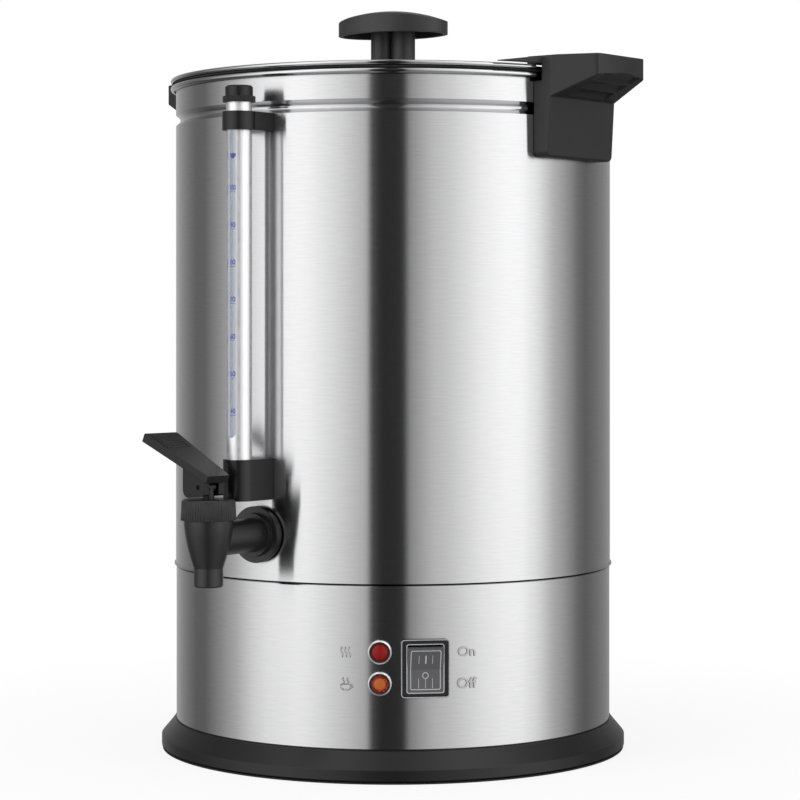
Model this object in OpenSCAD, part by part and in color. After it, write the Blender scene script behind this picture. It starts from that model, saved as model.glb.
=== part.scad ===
// Stainless steel coffee urn with a lever tap, a sight gauge and a lift-out brewing basket.
// Millimetres. The origin is on the urn's axis, at the surface that it stands on.
// The tap faces -Y and +Z is up. Places round the urn are azimuths, from the tap towards +X.

/* [Tank] */
// Outside diameter of the tank shell
tank_d = 296; // [290:1:304]
// Thickness of the steel sheet
sheet_t = 0.8; // [0.6:0.1:1]
// Height of the middle of the tank's rolled rim
rim_z = 445.7; // [438:0.1:452]
// Diameter of the roll round the tank's rim
rim_roll_d = 3.6; // [3:0.1:4]
// Distance from the rim down to the middle of the pressed groove
groove_drop = 21.3; // [20:0.1:23]
// Height of the pressed groove
groove_h = 8; // [7:0.5:10]
// Depth of the pressed groove
groove_depth = 3; // [2:0.1:4]
// Height of the seam between the lower band and the tank
seam_z = 124; // [121:1:127]
// How far the tank's lower edge flares out over the band
flare = 1; // [0.8:0.1:1.4]
// Height of that flare
flare_h = 2; // [1.5:0.5:3]
// Height of the tank's floor above the seam
floor_rise = 11.5; // [11:0.5:13]
// Diameter of the well in the middle of the floor
well_d = 66; // [64:1:70]
// Depth of the well
well_depth = 8; // [7:0.5:9]

/* [Base] */
// How far the lower band lies inside the tank's radius
band_inset = 0.4; // [0.3:0.1:0.6]
// Height of the band's lower edge
band_z = 20.4; // [19:0.1:23]
// How far the band's joggled top reaches above the seam
joggle_h = 8; // [6:0.5:9]
// How far the base ring's foot stands out from the tank's radius
ring_out = 9.5; // [8:0.5:11]
// Height of the shadow joint between the base ring and the band
joint_h = 0.8; // [0.6:0.1:1.2]
// Height of the base ring's upright face
ring_face_h = 7.7; // [6:0.1:9]
// Wall of the base ring
ring_t = 2.5; // [2:0.1:3]
// Height of the lip that stands up inside the band
lip_h = 8; // [6:0.5:12]
// Width of the inner flange that carries the base plate
ring_flange_w = 10.6; // [9:0.1:13]
// Height of the base plate's top face
plate_z = 10; // [9:0.5:12]
// Thickness of the base plate
plate_t = 1.2; // [1:0.1:1.6]
// Thickness of the rubber ring under the base ring
foot_lift = 1; // [0.6:0.1:1.4]
// Width of that rubber ring
foot_w = 5; // [4:0.5:7]
// Height of the rubber ring's inner wall
foot_wall_h = 4; // [3:0.5:5]
// Distance of the vents from the urn's axis
vent_r = 71; // [60:1:90]
// Number of vent slots in the base plate
vent_count = 12; // [8:1:16]
// Length of a vent slot
vent_l = 30; // [20:1:36]
// Width of a vent slot
vent_w = 3; // [2:0.5:4]
// Diameter of the tie rod that holds the base plate to the tank
tie_d = 6; // [5:0.5:7]

/* [Heater] */
// Outside diameter of the cast heater plate
heater_d = 184; // [170:1:200]
// Thickness of the heater plate
heater_t = 6; // [5:0.5:7]
// Distance of the heating tube's middle from the plate's edge
element_inset = 27; // [22:1:30]
// Diameter of the heating tube
element_d = 8; // [7:0.5:9]
// Angle that the heating tube goes round
element_sweep = 270; // [250:5:280]
// Length of the tube's two tails
tail_l = 18; // [14:1:24]
// Diameter of a thermostat
thermostat_d = 18; // [14:1:20]
// Height of a thermostat
thermostat_h = 9; // [7:0.5:12]
// Length of a thermostat's blades
blade_l = 8; // [6:0.5:10]

/* [Lid] */
// Diameter of the roll round the lid's edge
lid_roll_d = 3; // [2.6:0.1:3.4]
// Gap between the tank's roll and the lid's roll
lid_gap = 1.7; // [1.6:0.1:2]
// Thickness of the seal ring in that gap
seal_t = 1.1; // [0.9:0.1:1.2]
// Width of the lid's flange, from its roll to the channel
lid_flange_w = 8; // [7.5:0.5:9]
// Width of the channel that drops into the tank's mouth
channel_w = 6; // [5:0.5:8]
// Depth of that channel
channel_depth = 8; // [6:0.5:10]
// Height of the dome in the lid's middle
dome_h = 11; // [9:0.5:12]

/* [Knob] */
// Length of the knob's plate
knob_l = 78; // [72:1:84]
// Width of the knob's plate
knob_w = 54; // [50:1:58]
// Radius of the knob plate's ends
knob_end_r = 20; // [17:1:22]
// Height of the knob plate's rim at its ends
knob_rim_h = 8.5; // [7.5:0.5:10]
// Height of the crown on top of the knob
knob_crown = 7.5; // [6:0.5:8.5]
// Wall of the knob's plate
knob_t = 3; // [2.5:0.5:4]
// Height of the knob's post above the dome
knob_post_h = 20.5; // [17:0.5:24]
// Diameter of each lobe of the post
lobe_d = 16; // [14:1:18]
// Distance between the two lobes' axes
lobe_gap = 15.6; // [13.5:0.1:16]
// Azimuth of the knob's long axis
knob_az = 101; // [-180:1:180]

/* [Handles] */
// Azimuth of the right handle; the left one is opposite
handle_az = 86.8; // [80:0.1:100]
// Width of a handle's pad
handle_w = 73.4; // [66:0.1:80]
// Thickness of the pad at its top
pad_t = 8.4; // [7.5:0.1:10]
// Thickness of the pad at its bottom
pad_foot_t = 6.2; // [5:0.1:7]
// Height of the pad below the rim
pad_drop = 52.7; // [46:0.1:60]
// Height of the pad's top edge below the rim
pad_top_drop = 14.2; // [12:0.1:16]
// How far the grip reaches out from the shell
grip_reach = 41; // [34:1:48]
// Width of the grip's outer face
grip_w = 51; // [46:1:56]
// How far that face bulges in its middle
grip_bulge = 3; // [2:0.5:4]
// Height of the grip's outer face
grip_face_h = 12; // [10:0.5:14]
// Height of the grip's top above the rim
grip_rise = 12.3; // [11:0.1:14]
// How far the hook reaches in over the lid's edge
hook_reach = 8.5; // [7.5:0.1:9]
// Angle from the handle's middle to a wing's tip
wing_angle = 26; // [22:0.5:30]
// Radial thickness of a wing
wing_t = 2.6; // [2:0.1:4]
// Width of a finger flute under the grip
flute_w = 9; // [8:0.5:10]
// Depth of a finger flute
flute_depth = 1.4; // [1:0.1:2]
// Diameter of the handle's screws
handle_screw_d = 5; // [4:0.5:5]
// Distance between a handle's two screws
handle_screw_gap = 40; // [30:1:50]

/* [Tap] */
// Distance of the tap's upright axis from the shell
tap_out = 50.9; // [46:0.1:56]
// Height of the tap's shank
tap_z = 153; // [151:0.5:156]
// Outside diameter of the nozzle
nozzle_d = 18.3; // [17:0.1:20]
// Height of the nozzle's mouth
nozzle_z = 123.9; // [118:0.1:128]
// Length of the nozzle's straight part
nozzle_l = 11.7; // [9:0.1:14]
// Diameter of the tap's bowl at the collar
bowl_d = 30.8; // [29:0.1:32]
// Height of the collar's lower edge
collar_z = 165.4; // [164:0.1:168]
// Height of the collar
collar_h = 12.9; // [11:0.1:14]
// Outside diameter of the collar
collar_d = 34; // [33:0.1:36]
// Number of flutes round the collar
flute_count = 60; // [48:4:72]
// Diameter of the shank
shank_d = 21.6; // [20:0.1:23]
// Diameter of the flange against the shell
flange_d = 36; // [34:0.1:38]
// Thickness of that flange
flange_t = 3; // [2.5:0.1:4]
// Diameter of the threaded end that goes through the shell
tap_thread_d = 19; // [17:0.5:19.5]
// Bore of the shank
shank_bore_d = 12; // [10:0.5:13]
// Bore of the nozzle
nozzle_bore_d = 12; // [10:0.5:13]
// Bore of the valve chamber
chamber_d = 22; // [20:0.5:23]
// Diameter of the valve stem
stem_d = 7; // [6:0.2:7.6]
// Height of the lever's pin above the collar
pin_rise = 7.6; // [7:0.1:8.4]
// Diameter of the lever's pin
pin_d = 3; // [2.5:0.1:3.4]
// Running clearance on a pin's radius
pin_clear = 0.06; // [0.03:0.01:0.09]
// Way that the lever points, as an azimuth
lever_az = -98; // [-180:1:180]
// Length of the lever seen from above, from the pin to the tip
lever_l = 47; // [40:1:56]
// Width of the lever at its heel
lever_heel_w = 18; // [17:0.5:22]
// Width of the lever at its tip
lever_tip_w = 28.4; // [24:0.1:32]
// Thickness of the lever
lever_t = 5; // [4:0.5:6]
// Slope of the lever
lever_slope = 24.5; // [20:0.5:30]

/* [Gauge] */
// Distance of the gauge's axis from the shell
gauge_out = 20.6; // [19:0.1:23]
// Outside diameter of the slotted shield
shield_d = 16.4; // [15.6:0.1:17.2]
// Wall of the shield
shield_t = 0.8; // [0.6:0.1:1]
// Width of the shield's window
window_w = 6.6; // [6:0.1:8]
// Height of the window's lower end above the block
window_rise = 13.8; // [10:0.1:18]
// Outside diameter of the glass tube
glass_d = 12; // [11:0.1:12.6]
// Wall of the glass tube
glass_t = 1.4; // [1:0.1:1.6]
// Height of the gauge block's lower face
block_z = 175.6; // [175:0.1:179]
// Height of the gauge block
block_h = 26; // [23:0.1:28]
// Width of the gauge block at its round front
block_w = 20.4; // [19:0.1:22]
// Width of the gauge block at the shell
block_root_w = 23; // [22:0.5:26]
// Height of the cap's flange below the rim
cap_drop = 19.3; // [18:0.1:21]
// Height of the cap's fluted flange
cap_flange_h = 3.8; // [3:0.1:5]
// Diameter of the cap's fluted flange
cap_flange_d = 20.7; // [19.5:0.1:22]
// Number of flutes round that flange
cap_flute_count = 48; // [36:4:60]
// Diameter of the cap's crown
cap_d = 17.6; // [16:0.1:18.5]
// Height of the cap's crown
cap_h = 6.8; // [5:0.1:9]
// Height of the clip
clip_h = 11.8; // [10:0.1:14]
// Height of the clip's middle below the cap
clip_drop = 11.7; // [10:0.1:14]
// Wall of the clip round the shield
clip_t = 2.2; // [1.8:0.1:3]

/* [Controls] */
// Azimuth of the switch
switch_az = 42.9; // [38:0.1:48]
// Height of the switch's middle
switch_z = 71.1; // [66:0.1:76]
// Width of the switch's frame
bezel_w = 30.6; // [29:0.1:33]
// Height of the switch's frame
bezel_h = 36.4; // [35:0.1:39]
// How far the frame stands out from the band
bezel_t = 2.4; // [1.8:0.1:3]
// Width of the rocker
rocker_w = 22.4; // [20:0.1:23.4]
// Height of the rocker
rocker_h = 28.5; // [26:0.1:29.5]
// Depth of the switch's body behind the band
switch_depth = 22; // [18:1:26]
// Tilt of the rocker to each side
rocker_tilt = 8; // [6:0.5:9]
// Azimuth of the two lamps
lamp_az = 31.9; // [29:0.1:33]
// Height of the upper lamp above the lower one
lamp_gap = 19.8; // [17:0.1:24]
// Outside diameter of a lamp's chrome ring
lamp_ring_d = 15; // [14:0.1:16]
// Diameter of a lamp's lens
lens_d = 11.8; // [11:0.1:12.4]
// How far a lens stands out of its ring
lens_dome = 1.6; // [1:0.1:2.2]
// Height of the power inlet
inlet_z = 58; // [50:1:70]

/* [Brewing set] */
// Diameter of the pump's foot
pump_d = 60; // [56:1:62]
// Height of the pump's bell
pump_h = 20; // [16:1:24]
// Outside diameter of the pump tube
tube_d = 12; // [10:0.5:13]
// Bore of the pump tube
tube_bore_d = 10; // [8:0.5:10]
// Height of the tube's top below the rim
tube_drop = 12; // [8:1:20]
// Outside diameter of the coffee basket
basket_d = 150; // [130:1:170]
// Height of the coffee basket
basket_h = 78; // [60:1:84]
// Height of the basket's rim below the tank's rim
basket_drop = 32; // [28:1:40]
// Diameter of a brewing hole
hole_d = 3; // [2.4:0.1:3.6]
// Number of holes in the inmost ring of holes
hole_count = 12; // [8:1:14]

/* [Fits] */
// Clearance between fixed pieces with curved faces
seat_gap = 0.3; // [0.2:0.05:0.35]
// Clearance round pieces that turn or slide
move_gap = 0.6; // [0.4:0.05:0.7]
// Clearance on the radius of a screw in its hole
screw_clear = 0.1; // [0.06:0.01:0.14]

/* [Hidden] */
$fn = 96;

STEEL = "silver";
BLACK = "dimgray";
far = 400;                                        // longer than any piece, for cuts
tank_r = tank_d / 2;
tank_in_r = tank_r - sheet_t;
groove_z = rim_z - groove_drop;
rim_roll_r = rim_roll_d / 2;
rim_top_z = rim_z + rim_roll_r;
floor_z = seam_z + floor_rise;
well_r = well_d / 2;
well_z = floor_z - well_depth;
band_r = tank_r - band_inset;
band_in_r = band_r - sheet_t;
joggle_r = tank_in_r - seat_gap;
floor_skirt_r = joggle_r - sheet_t - seat_gap;
ring_r = tank_r + ring_out;
ring_top_r = band_r + 1.1;
lip_r = band_in_r - seat_gap;
flange_in_r = lip_r - ring_t - ring_flange_w;
plate_r = lip_r - ring_t;
base_screw_r = flange_in_r + ring_flange_w / 2;
base_screw_d = 3.5;
base_screw_head_h = 2;

element_r = heater_d / 2 - element_inset;

lid_roll_r = lid_roll_d / 2;
lid_edge_r = tank_r + rim_roll_d;                 // outside of both rolls
lid_roll_z = rim_top_z + lid_gap + lid_roll_r;
lid_top_z = lid_roll_z + lid_roll_r;
channel_r = lid_edge_r - lid_roll_d - lid_flange_w + 1;
dome_edge_r = channel_r - channel_w;
dome_z = lid_top_z + dome_h;
knob_plate_z = dome_z + knob_post_h;

hook_z = lid_top_z + move_gap;
hook_r = lid_edge_r - hook_reach;
slot_r = lid_edge_r + 2.5;
slot_z = rim_z - rim_roll_r - 2;
grip_top_z = rim_z + grip_rise;
pad_z = rim_z - pad_drop;
pad_top_z = rim_z - pad_top_drop;
handle_screw_z = (pad_z + groove_z - groove_h / 2) / 2;

tap_r = tank_r + tap_out;
bowl_r = bowl_d / 2;
nozzle_r = nozzle_d / 2;
nozzle_top_z = nozzle_z + nozzle_l;
collar_top_z = collar_z + collar_h;
neck_r = chamber_d / 2 + 2;
neck_top_z = collar_top_z - 3.5;
seat_z = tap_z - shank_bore_d / 2 + 0.5;
pin_z = collar_top_z + pin_rise;
washer_t = 1.8;
tap_nut_t = 6;
stem_flat_w = stem_d - 0.4;
lug_gap = stem_d / 2 + 0.6;
seal_h = 11;
stem_disc_t = 1.6;
stem_disc_z = seat_z + 0.2 + seal_h + 0.1;
spring_z = stem_disc_z + stem_disc_t + 0.1;

gauge_r = tank_r + gauge_out;
block_top_z = block_z + block_h;
port_z = block_z + 9.9;
port_d = 12;
glass_r = glass_d / 2;
glass_z = port_z + port_d / 2 - 3;
cap_z = rim_z - cap_drop;
clip_z = cap_z - clip_drop;
shield_r = shield_d / 2;

rocker_pin_d = 2.4;
rocker_pivot_r = band_r - 1;
socket_w = 25.5;
socket_h = 18;
socket_depth = 17;
socket_tail = socket_depth / 2;

tube_top_z = rim_z - tube_drop;
basket_top_z = rim_z - basket_drop;
basket_z = basket_top_z - basket_h;
basket_r = basket_d / 2;
pump_z = well_z + 0.4;
bell_z = pump_z + pump_h;

// ---- shared shapes ----

// Puts children at an azimuth, a distance from the axis and a height, with -Y pointing out
module at(az, r, z) rotate([0, 0, az]) translate([0, -r, z]) children();

// Upright tube
module tube(r_out, r_in, z0, z1) translate([0, 0, z0]) difference() {
    cylinder(r = r_out, h = z1 - z0);
    translate([0, 0, -1]) cylinder(r = r_in, h = z1 - z0 + 2);
}

// Rod that points out, from one distance from the axis to another
module rod_out(r0, r1, d, sides = $fn)
    translate([0, -r0, 0]) rotate([90, 0, 0]) cylinder(d = d, h = r1 - r0, $fn = sides);

// Block that points out, with rounded edges along its length
module block_out(r0, r1, w, h, edge_r) translate([0, -r0, 0]) rotate([90, 0, 0])
    linear_extrude(r1 - r0) soft_poly(box_corners(w, h, edge_r));

function unit(v) = v / norm(v);
function box_corners(w, h, r) = [[-w / 2, -h / 2, r], [w / 2, -h / 2, r], [w / 2, h / 2, r],
    [-w / 2, h / 2, r]];

// Flat outline with rounded corners. Each corner is [x, y, radius], and a rounded one is convex.
module soft_poly(corners) {
    n = len(corners);
    spot = [for (c = corners) [c[0], c[1]]];
    back = [for (i = [0:n - 1]) unit(spot[(i + n - 1) % n] - spot[i])];
    on = [for (i = [0:n - 1]) unit(spot[(i + 1) % n] - spot[i])];
    half = [for (i = [0:n - 1]) acos(back[i] * on[i]) / 2];
    polygon([for (i = [0:n - 1]) let (r = corners[i][2], run = r / tan(half[i]))
        each r > 0 ? [spot[i] + back[i] * run, spot[i] + on[i] * run] : [spot[i]]]);
    for (i = [0:n - 1]) if (corners[i][2] > 0)
        translate(spot[i] + unit(back[i] + on[i]) * corners[i][2] / sin(half[i]))
            circle(r = corners[i][2]);
}

// Oval of four tangent arcs
module oval(half_l, half_w, end_r) {
    end_x = half_l - end_r;
    side_r = (end_x * end_x + half_w * half_w - end_r * end_r) / (2 * (half_w - end_r));
    meet_x = end_x * side_r / (side_r - end_r);
    for (side = [-1, 1]) translate([side * end_x, 0]) circle(r = end_r);
    intersection() {
        translate([0, half_w - side_r]) circle(r = side_r, $fn = 2 * $fn);
        translate([0, side_r - half_w]) circle(r = side_r, $fn = 2 * $fn);
        square([2 * meet_x, 2 * half_w + 2], center = true);
    }
}

// Sheet metal section from a list of [radius, height] on its outer side
module sheet(line) polygon(concat(line, [for (i = [len(line) - 1:-1:0]) line[i] - [sheet_t, 0]]));

// ---- base ----

module base_screw_places() for (i = [0:3]) rotate([0, 0, 45 + 90 * i])
    translate([base_screw_r, 0, 0]) children();

// Moulded skirt with a lip inside the band and a flange for the base plate
module base_ring() color(BLACK) difference() {
    rotate_extrude($fn = 180) {
        face_top = foot_lift + ring_face_h;
        joint_z = band_z - joint_h;
        slope = unit([ring_top_r - ring_r, joint_z - 0.4 - face_top]);
        inward = [-slope[1], slope[0]] * ring_t;
        edge = [lip_r, band_z - 4];
        polygon([[ring_r, foot_lift + 1.2], [ring_r, face_top], [ring_top_r, joint_z - 0.4],
            [ring_top_r, joint_z], [band_r - 0.3, joint_z], [band_r - 0.3, band_z], [lip_r, band_z],
            [lip_r, band_z + lip_h],
            [lip_r - ring_t, band_z + lip_h], [lip_r - ring_t, plate_z + ring_t],
            [flange_in_r, plate_z + ring_t], [flange_in_r, plate_z], [lip_r, plate_z], edge,
            [ring_r, face_top] + inward, [ring_r - ring_t, foot_lift], [ring_r - 1.2, foot_lift]]);
    }
    base_screw_places() translate([0, 0, plate_z - 1])
        cylinder(d = base_screw_d + 2 * screw_clear, h = ring_t + 2);
}

// Pressed plate that closes the bottom, with vents round the tie rod
module base_plate() color("gray") difference() {
    translate([0, 0, plate_z - plate_t]) cylinder(r = plate_r, h = plate_t, $fn = 180);
    translate([0, 0, plate_z - plate_t - 1]) {
        cylinder(d = tie_d + 2 * screw_clear, h = plate_t + 2);
        for (i = [0:vent_count - 1]) rotate([0, 0, 360 * (i + 0.5) / vent_count])
            translate([vent_r, 0, 0]) linear_extrude(plate_t + 2)
                soft_poly(box_corners(vent_l, vent_w, vent_w / 2 - 0.01));
        base_screw_places() cylinder(d = base_screw_d + 2 * screw_clear, h = plate_t + 2);
    }
}

module base_screws() color(STEEL) base_screw_places() {
    under_z = plate_z - plate_t;
    translate([0, 0, under_z - base_screw_head_h])
        cylinder(d1 = base_screw_d * 1.5, d2 = base_screw_d * 2, h = base_screw_head_h);
    translate([0, 0, under_z]) cylinder(d = base_screw_d, h = plate_t + ring_t + 3);
}

// Rubber ring that the skirt stands on
module rubber_foot() color("black") rotate_extrude($fn = 180) {
    out_r = ring_r - 0.5;
    wall_r = ring_r - ring_t - seat_gap;
    polygon([[out_r - foot_w, 0], [out_r, 0], [out_r, foot_lift], [wall_r, foot_lift],
        [wall_r, foot_wall_h], [out_r - foot_w, foot_wall_h]]);
}

// Band that houses the controls, with a joggled top that fits inside the tank shell
module lower_band() color(STEEL) difference() {
    rotate_extrude($fn = 180) sheet([[band_r, band_z], [band_r, seam_z - 2],
        [joggle_r, seam_z], [joggle_r, seam_z + joggle_h]]);
    at(switch_az, 0, switch_z) block_out(band_r - 20, far, switch_hole_w(), switch_hole_h(), 1);
    lamp_places() rod_out(band_r - 20, far, lamp_barrel_d() + 2 * seat_gap);
    at(180, 0, inlet_z) block_out(band_r - 20, far, socket_w + 3 + 2 * seat_gap,
        socket_h + 3 + 2 * seat_gap, 2);
}

// Rod with a nut under the base plate and a pad under the tank's well
module tie_rod() color(STEEL) {
    under_z = plate_z - plate_t;
    translate([0, 0, under_z - 6]) cylinder(d = tie_d, h = well_z - sheet_t - 1 - under_z + 6);
    translate([0, 0, under_z - 4.5]) cylinder(d = tie_d * 1.9, h = 4.5, $fn = 6);
    translate([0, 0, well_z - sheet_t - 3]) cylinder(d = tie_d * 3, h = 3);
}

// ---- tank ----

function groove_r(z) = abs(z - groove_z) > groove_h / 2 ? tank_r
    : tank_r - groove_depth * (1 - pow(2 * (z - groove_z) / groove_h, 2));

// Single-walled shell with a flared foot, a pressed groove and a rolled rim
module tank_shell() color(STEEL) difference() {
    rotate_extrude($fn = 180) {
        steps = 12;
        sheet(concat([[tank_r + flare, seam_z], [tank_r + flare, seam_z + 1],
            [tank_r, seam_z + flare_h]],
            [for (i = [0:steps]) let (z = groove_z + groove_h * (i / steps - 0.5))
                [groove_r(z), z]],
            [[tank_r, rim_z - 2 * sheet_t], [tank_r + sheet_t, rim_z]]));
        translate([tank_r + rim_roll_r, rim_z]) circle(r = rim_roll_r, $fn = 24);
    }
    at(0, 0, tap_z) rod_out(tank_in_r - 20, far, tap_thread_d + 2 * seat_gap);
    at(0, 0, port_z) rod_out(tank_in_r - 20, far, port_d + 2 * seat_gap);
    at(0, 0, clip_z) rod_out(tank_in_r - 20, far, 4 + 2 * screw_clear);
    handle_screw_places() rod_out(tank_in_r - 20, far, handle_screw_d + 2 * screw_clear);
}

// Drawn floor with a well for the pump
module tank_floor() color(STEEL) rotate_extrude($fn = 180) {
    lip_z = seam_z + joggle_h + seat_gap;
    polygon([[0, well_z], [well_r, well_z], [well_r, floor_z], [tank_in_r - seat_gap, floor_z],
        [tank_in_r - seat_gap, lip_z + 0.4], [floor_skirt_r, lip_z + 0.4], [floor_skirt_r, seam_z],
        [floor_skirt_r - sheet_t, seam_z], [floor_skirt_r - sheet_t, floor_z - sheet_t],
        [well_r + sheet_t, floor_z - sheet_t], [well_r + sheet_t, well_z - sheet_t],
        [0, well_z - sheet_t]]);
}

// ---- heater ----

module element_path(d) {
    tail_z = floor_z - sheet_t - seat_gap - heater_t;
    translate([0, 0, tail_z]) rotate([0, 0, -90 - element_sweep / 2])
        rotate_extrude(angle = element_sweep) translate([element_r, 0]) circle(d = d);
    for (end = [-1, 1]) rotate([0, 0, -90 + end * element_sweep / 2])
        translate([element_r, 0, tail_z - tail_l]) cylinder(d = d, h = tail_l);
    for (end = [-1, 1]) rotate([0, 0, -90 + end * element_sweep / 2])
        translate([element_r, 0, tail_z]) sphere(d = d);
}

module heater_plate() color("lightgray") difference() {
    top_z = floor_z - sheet_t - seat_gap;
    tube(heater_d / 2, well_r + sheet_t + 1, top_z - heater_t, top_z);
    element_path(element_d + 2 * seat_gap);
}

module heating_tube() color("gray") element_path(element_d);

module thermostats() color("black") for (side = [-1, 1]) at(180 + side * 16, element_r, 0) {
    top_z = floor_z - sheet_t - heater_t - 2 * seat_gap;
    translate([0, 0, top_z - thermostat_h]) cylinder(d = thermostat_d, h = thermostat_h);
    for (blade = [-1, 1]) translate([blade * thermostat_d / 4 - 0.4, -3, top_z - thermostat_h - blade_l])
        cube([0.8, 6, blade_l + 0.5]);
}

// ---- power inlet ----

module inlet_socket() color(BLACK) at(180, 0, inlet_z) difference() {
    union() {
        block_out(band_r - socket_depth - 4, band_r + 2, socket_w + 3, socket_h + 3, 2);
        difference() {
            block_out(band_r - 2, band_r + 2.4, socket_w + 10, socket_h + 9, 3);
            translate([0, 0, -far / 2]) cylinder(r = band_r + 0.1, h = far);
        }
    }
    block_out(band_r + 2.4 - socket_depth, far, socket_w, socket_h, 2);
    inlet_pin_places() block_out(band_r - socket_depth - socket_tail, far, 4.2, 2.2, 0);
}

module inlet_pin_places() for (pin = [[-7, -2], [7, -2], [0, 2.5]])
    translate([pin[0], 0, pin[1]]) children();

module inlet_pins() color(STEEL) at(180, 0, inlet_z) inlet_pin_places()
    block_out(band_r - socket_depth - socket_tail, band_r - 1, 4, 2, 0);

// ---- switch ----

function switch_hole_w() = rocker_w + 3 + 2 * seat_gap;
function switch_hole_h() = rocker_h + 3 + 2 * seat_gap;

module switch_frame() color("black") at(switch_az, 0, switch_z) difference() {
    union() {
        block_out(band_r - switch_depth, band_r + 1, rocker_w + 3, rocker_h + 3, 1);
        difference() {
            block_out(band_r - 2, band_r + bezel_t, bezel_w, bezel_h, 2);
            translate([0, 0, -far / 2]) cylinder(r = band_r + 0.1, h = far);
        }
    }
    block_out(rocker_pivot_r - switch_depth * 0.4, far, rocker_w + 2 * seat_gap,
        rocker_h + 2 * (move_gap + 0.4), 0);
    translate([-rocker_w / 2 - 1.2, -rocker_pivot_r, 0]) rotate([0, 90, 0])
        cylinder(d = rocker_pin_d + 2 * pin_clear, h = rocker_w + 2.4);
}

// Rocker with two faces that dip towards its pivot; at rest its lower end is pressed in
module rocker() color("black") at(switch_az, rocker_pivot_r, switch_z) rotate([rocker_tilt, 0, 0])
    rotate([0, 90, 0]) {
        dip = rocker_h / 2 * tan(rocker_tilt);
        face = bezel_t + 1.9;
        translate([0, 0, -rocker_w / 2]) linear_extrude(rocker_w) polygon([
            [-rocker_h / 2, -face - dip * 0.6], [0, -face + dip * 0.6],
            [rocker_h / 2, -face - dip * 0.6], [rocker_h / 2 - 0.4, -0.5], [5, 4], [-5, 4],
            [-rocker_h / 2 + 0.4, -0.5]]);
        translate([0, 0, -rocker_w / 2 - 1]) cylinder(d = rocker_pin_d, h = rocker_w + 2);
    }

// ---- lamps ----

function lamp_barrel_d() = lens_d + 0.8;

module lamp_places() for (step = [0, 1])
    at(lamp_az, 0, switch_z + 0.3 + lamp_gap * (step - 0.5)) children();

module lamp_ring_section() difference() {
    translate([lens_d / 2 + 0.1, -1]) square([lamp_ring_d / 2 - lens_d / 2 - 0.1, 3]);
    translate([lamp_ring_d / 2, 2]) rotate(45) square(1.1, center = true);
}

module lamp_rings() color("white") lamp_places() difference() {
    translate([0, -band_r, 0]) rotate([90, 0, 0]) rotate_extrude() lamp_ring_section();
    translate([0, 0, -far / 2]) cylinder(r = band_r + 0.1, h = far);
}

module lens(step) at(lamp_az, 0, switch_z + 0.3 + lamp_gap * (step - 0.5)) {
    rod_out(band_r - 3, band_r + 1.2, lens_d);
    intersection() {
        ball_r = (lens_d * lens_d / 4 + lens_dome * lens_dome) / (2 * lens_dome);
        rod_out(band_r + 1, band_r + 1.2 + lens_dome, lens_d);
        translate([0, -(band_r + 1.2 + lens_dome - ball_r), 0]) sphere(r = ball_r, $fn = 64);
    }
}

module heating_lens() color("red") lens(1);
module warm_lens() color("orange") lens(0);

module lamp_bodies() color("black") lamp_places() {
    rod_out(band_r - 18, band_r - 3 - 0.1, lamp_barrel_d());
    for (side = [-1, 1]) translate([side * 3, 0, 0]) rod_out(band_r - 25, band_r - 17, 1.6);
}

// ---- tap ----

function bowl_curve(share) = nozzle_r + (bowl_r - nozzle_r) * (1 - pow(1 - share, 1.7));

module at_tap() translate([0, -tap_r, 0]) children();

// Bowl, nozzle and shank in one moulding, bored from the tank to the nozzle's mouth
module tap_body() color(BLACK) difference() {
    union() {
        at_tap() rotate_extrude() {
            steps = 10;
            polygon(concat([[0, nozzle_z], [nozzle_r - 0.8, nozzle_z], [nozzle_r, nozzle_z + 0.8]],
                [for (i = [0:steps]) [bowl_curve(i / steps),
                    nozzle_top_z + (collar_z - nozzle_top_z) * i / steps]],
                [[neck_r, collar_z], [neck_r, neck_top_z], [0, neck_top_z]]));
        }
        at(0, 0, tap_z) {
            rod_out(tank_r + 1, tap_r, shank_d);
            rod_out(tank_in_r - 20, tap_r, tap_thread_d);
            rod_out(tank_r - 2, tank_r + washer_t + flange_t, flange_d);
            rod_out(tank_r, tank_r + washer_t + 2 * flange_t, shank_d + 6);
        }
    }
    difference() {
        translate([0, 0, tap_z - far / 2]) cylinder(r = tank_r + washer_t, h = far, $fn = 180);
        at(0, 0, tap_z) rod_out(tank_in_r - 21, tap_r, tap_thread_d);
    }
    at_tap() {
        translate([0, 0, nozzle_z - 1]) cylinder(d = nozzle_bore_d, h = seat_z - nozzle_z + 2);
        translate([0, 0, seat_z]) cylinder(d = chamber_d, h = far);
    }
    at(0, 0, tap_z) rod_out(tank_in_r - 21, tap_r - chamber_d / 4, shank_bore_d);
}

// Two washers that fit the shell's curve, one on each side of it
module tap_washers() color("gray") {
    difference() {
        at(0, 0, tap_z) rod_out(tank_r - 8, tank_r + washer_t, flange_d - 3);
        at(0, 0, tap_z) rod_out(tank_r - 9, far, tap_thread_d + 2 * seat_gap);
        translate([0, 0, tap_z - far / 2]) cylinder(r = tank_r + 0.1, h = far, $fn = 180);
        translate([0, 0, tap_z - far / 2]) difference() {
            cylinder(r = far, h = far);
            translate([0, 0, -1]) cylinder(r = tank_r + washer_t - 0.1, h = far + 2, $fn = 180);
        }
    }
    difference() {
        at(0, 0, tap_z) rod_out(tank_in_r - 4, tank_in_r + 2, tap_thread_d + 11);
        at(0, 0, tap_z) rod_out(tank_in_r - 9, far, tap_thread_d + 2 * seat_gap);
        translate([0, 0, tap_z - far / 2]) difference() {
            cylinder(r = far, h = far);
            translate([0, 0, -1]) cylinder(r = tank_in_r - 0.1, h = far + 2, $fn = 180);
        }
    }
}

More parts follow.
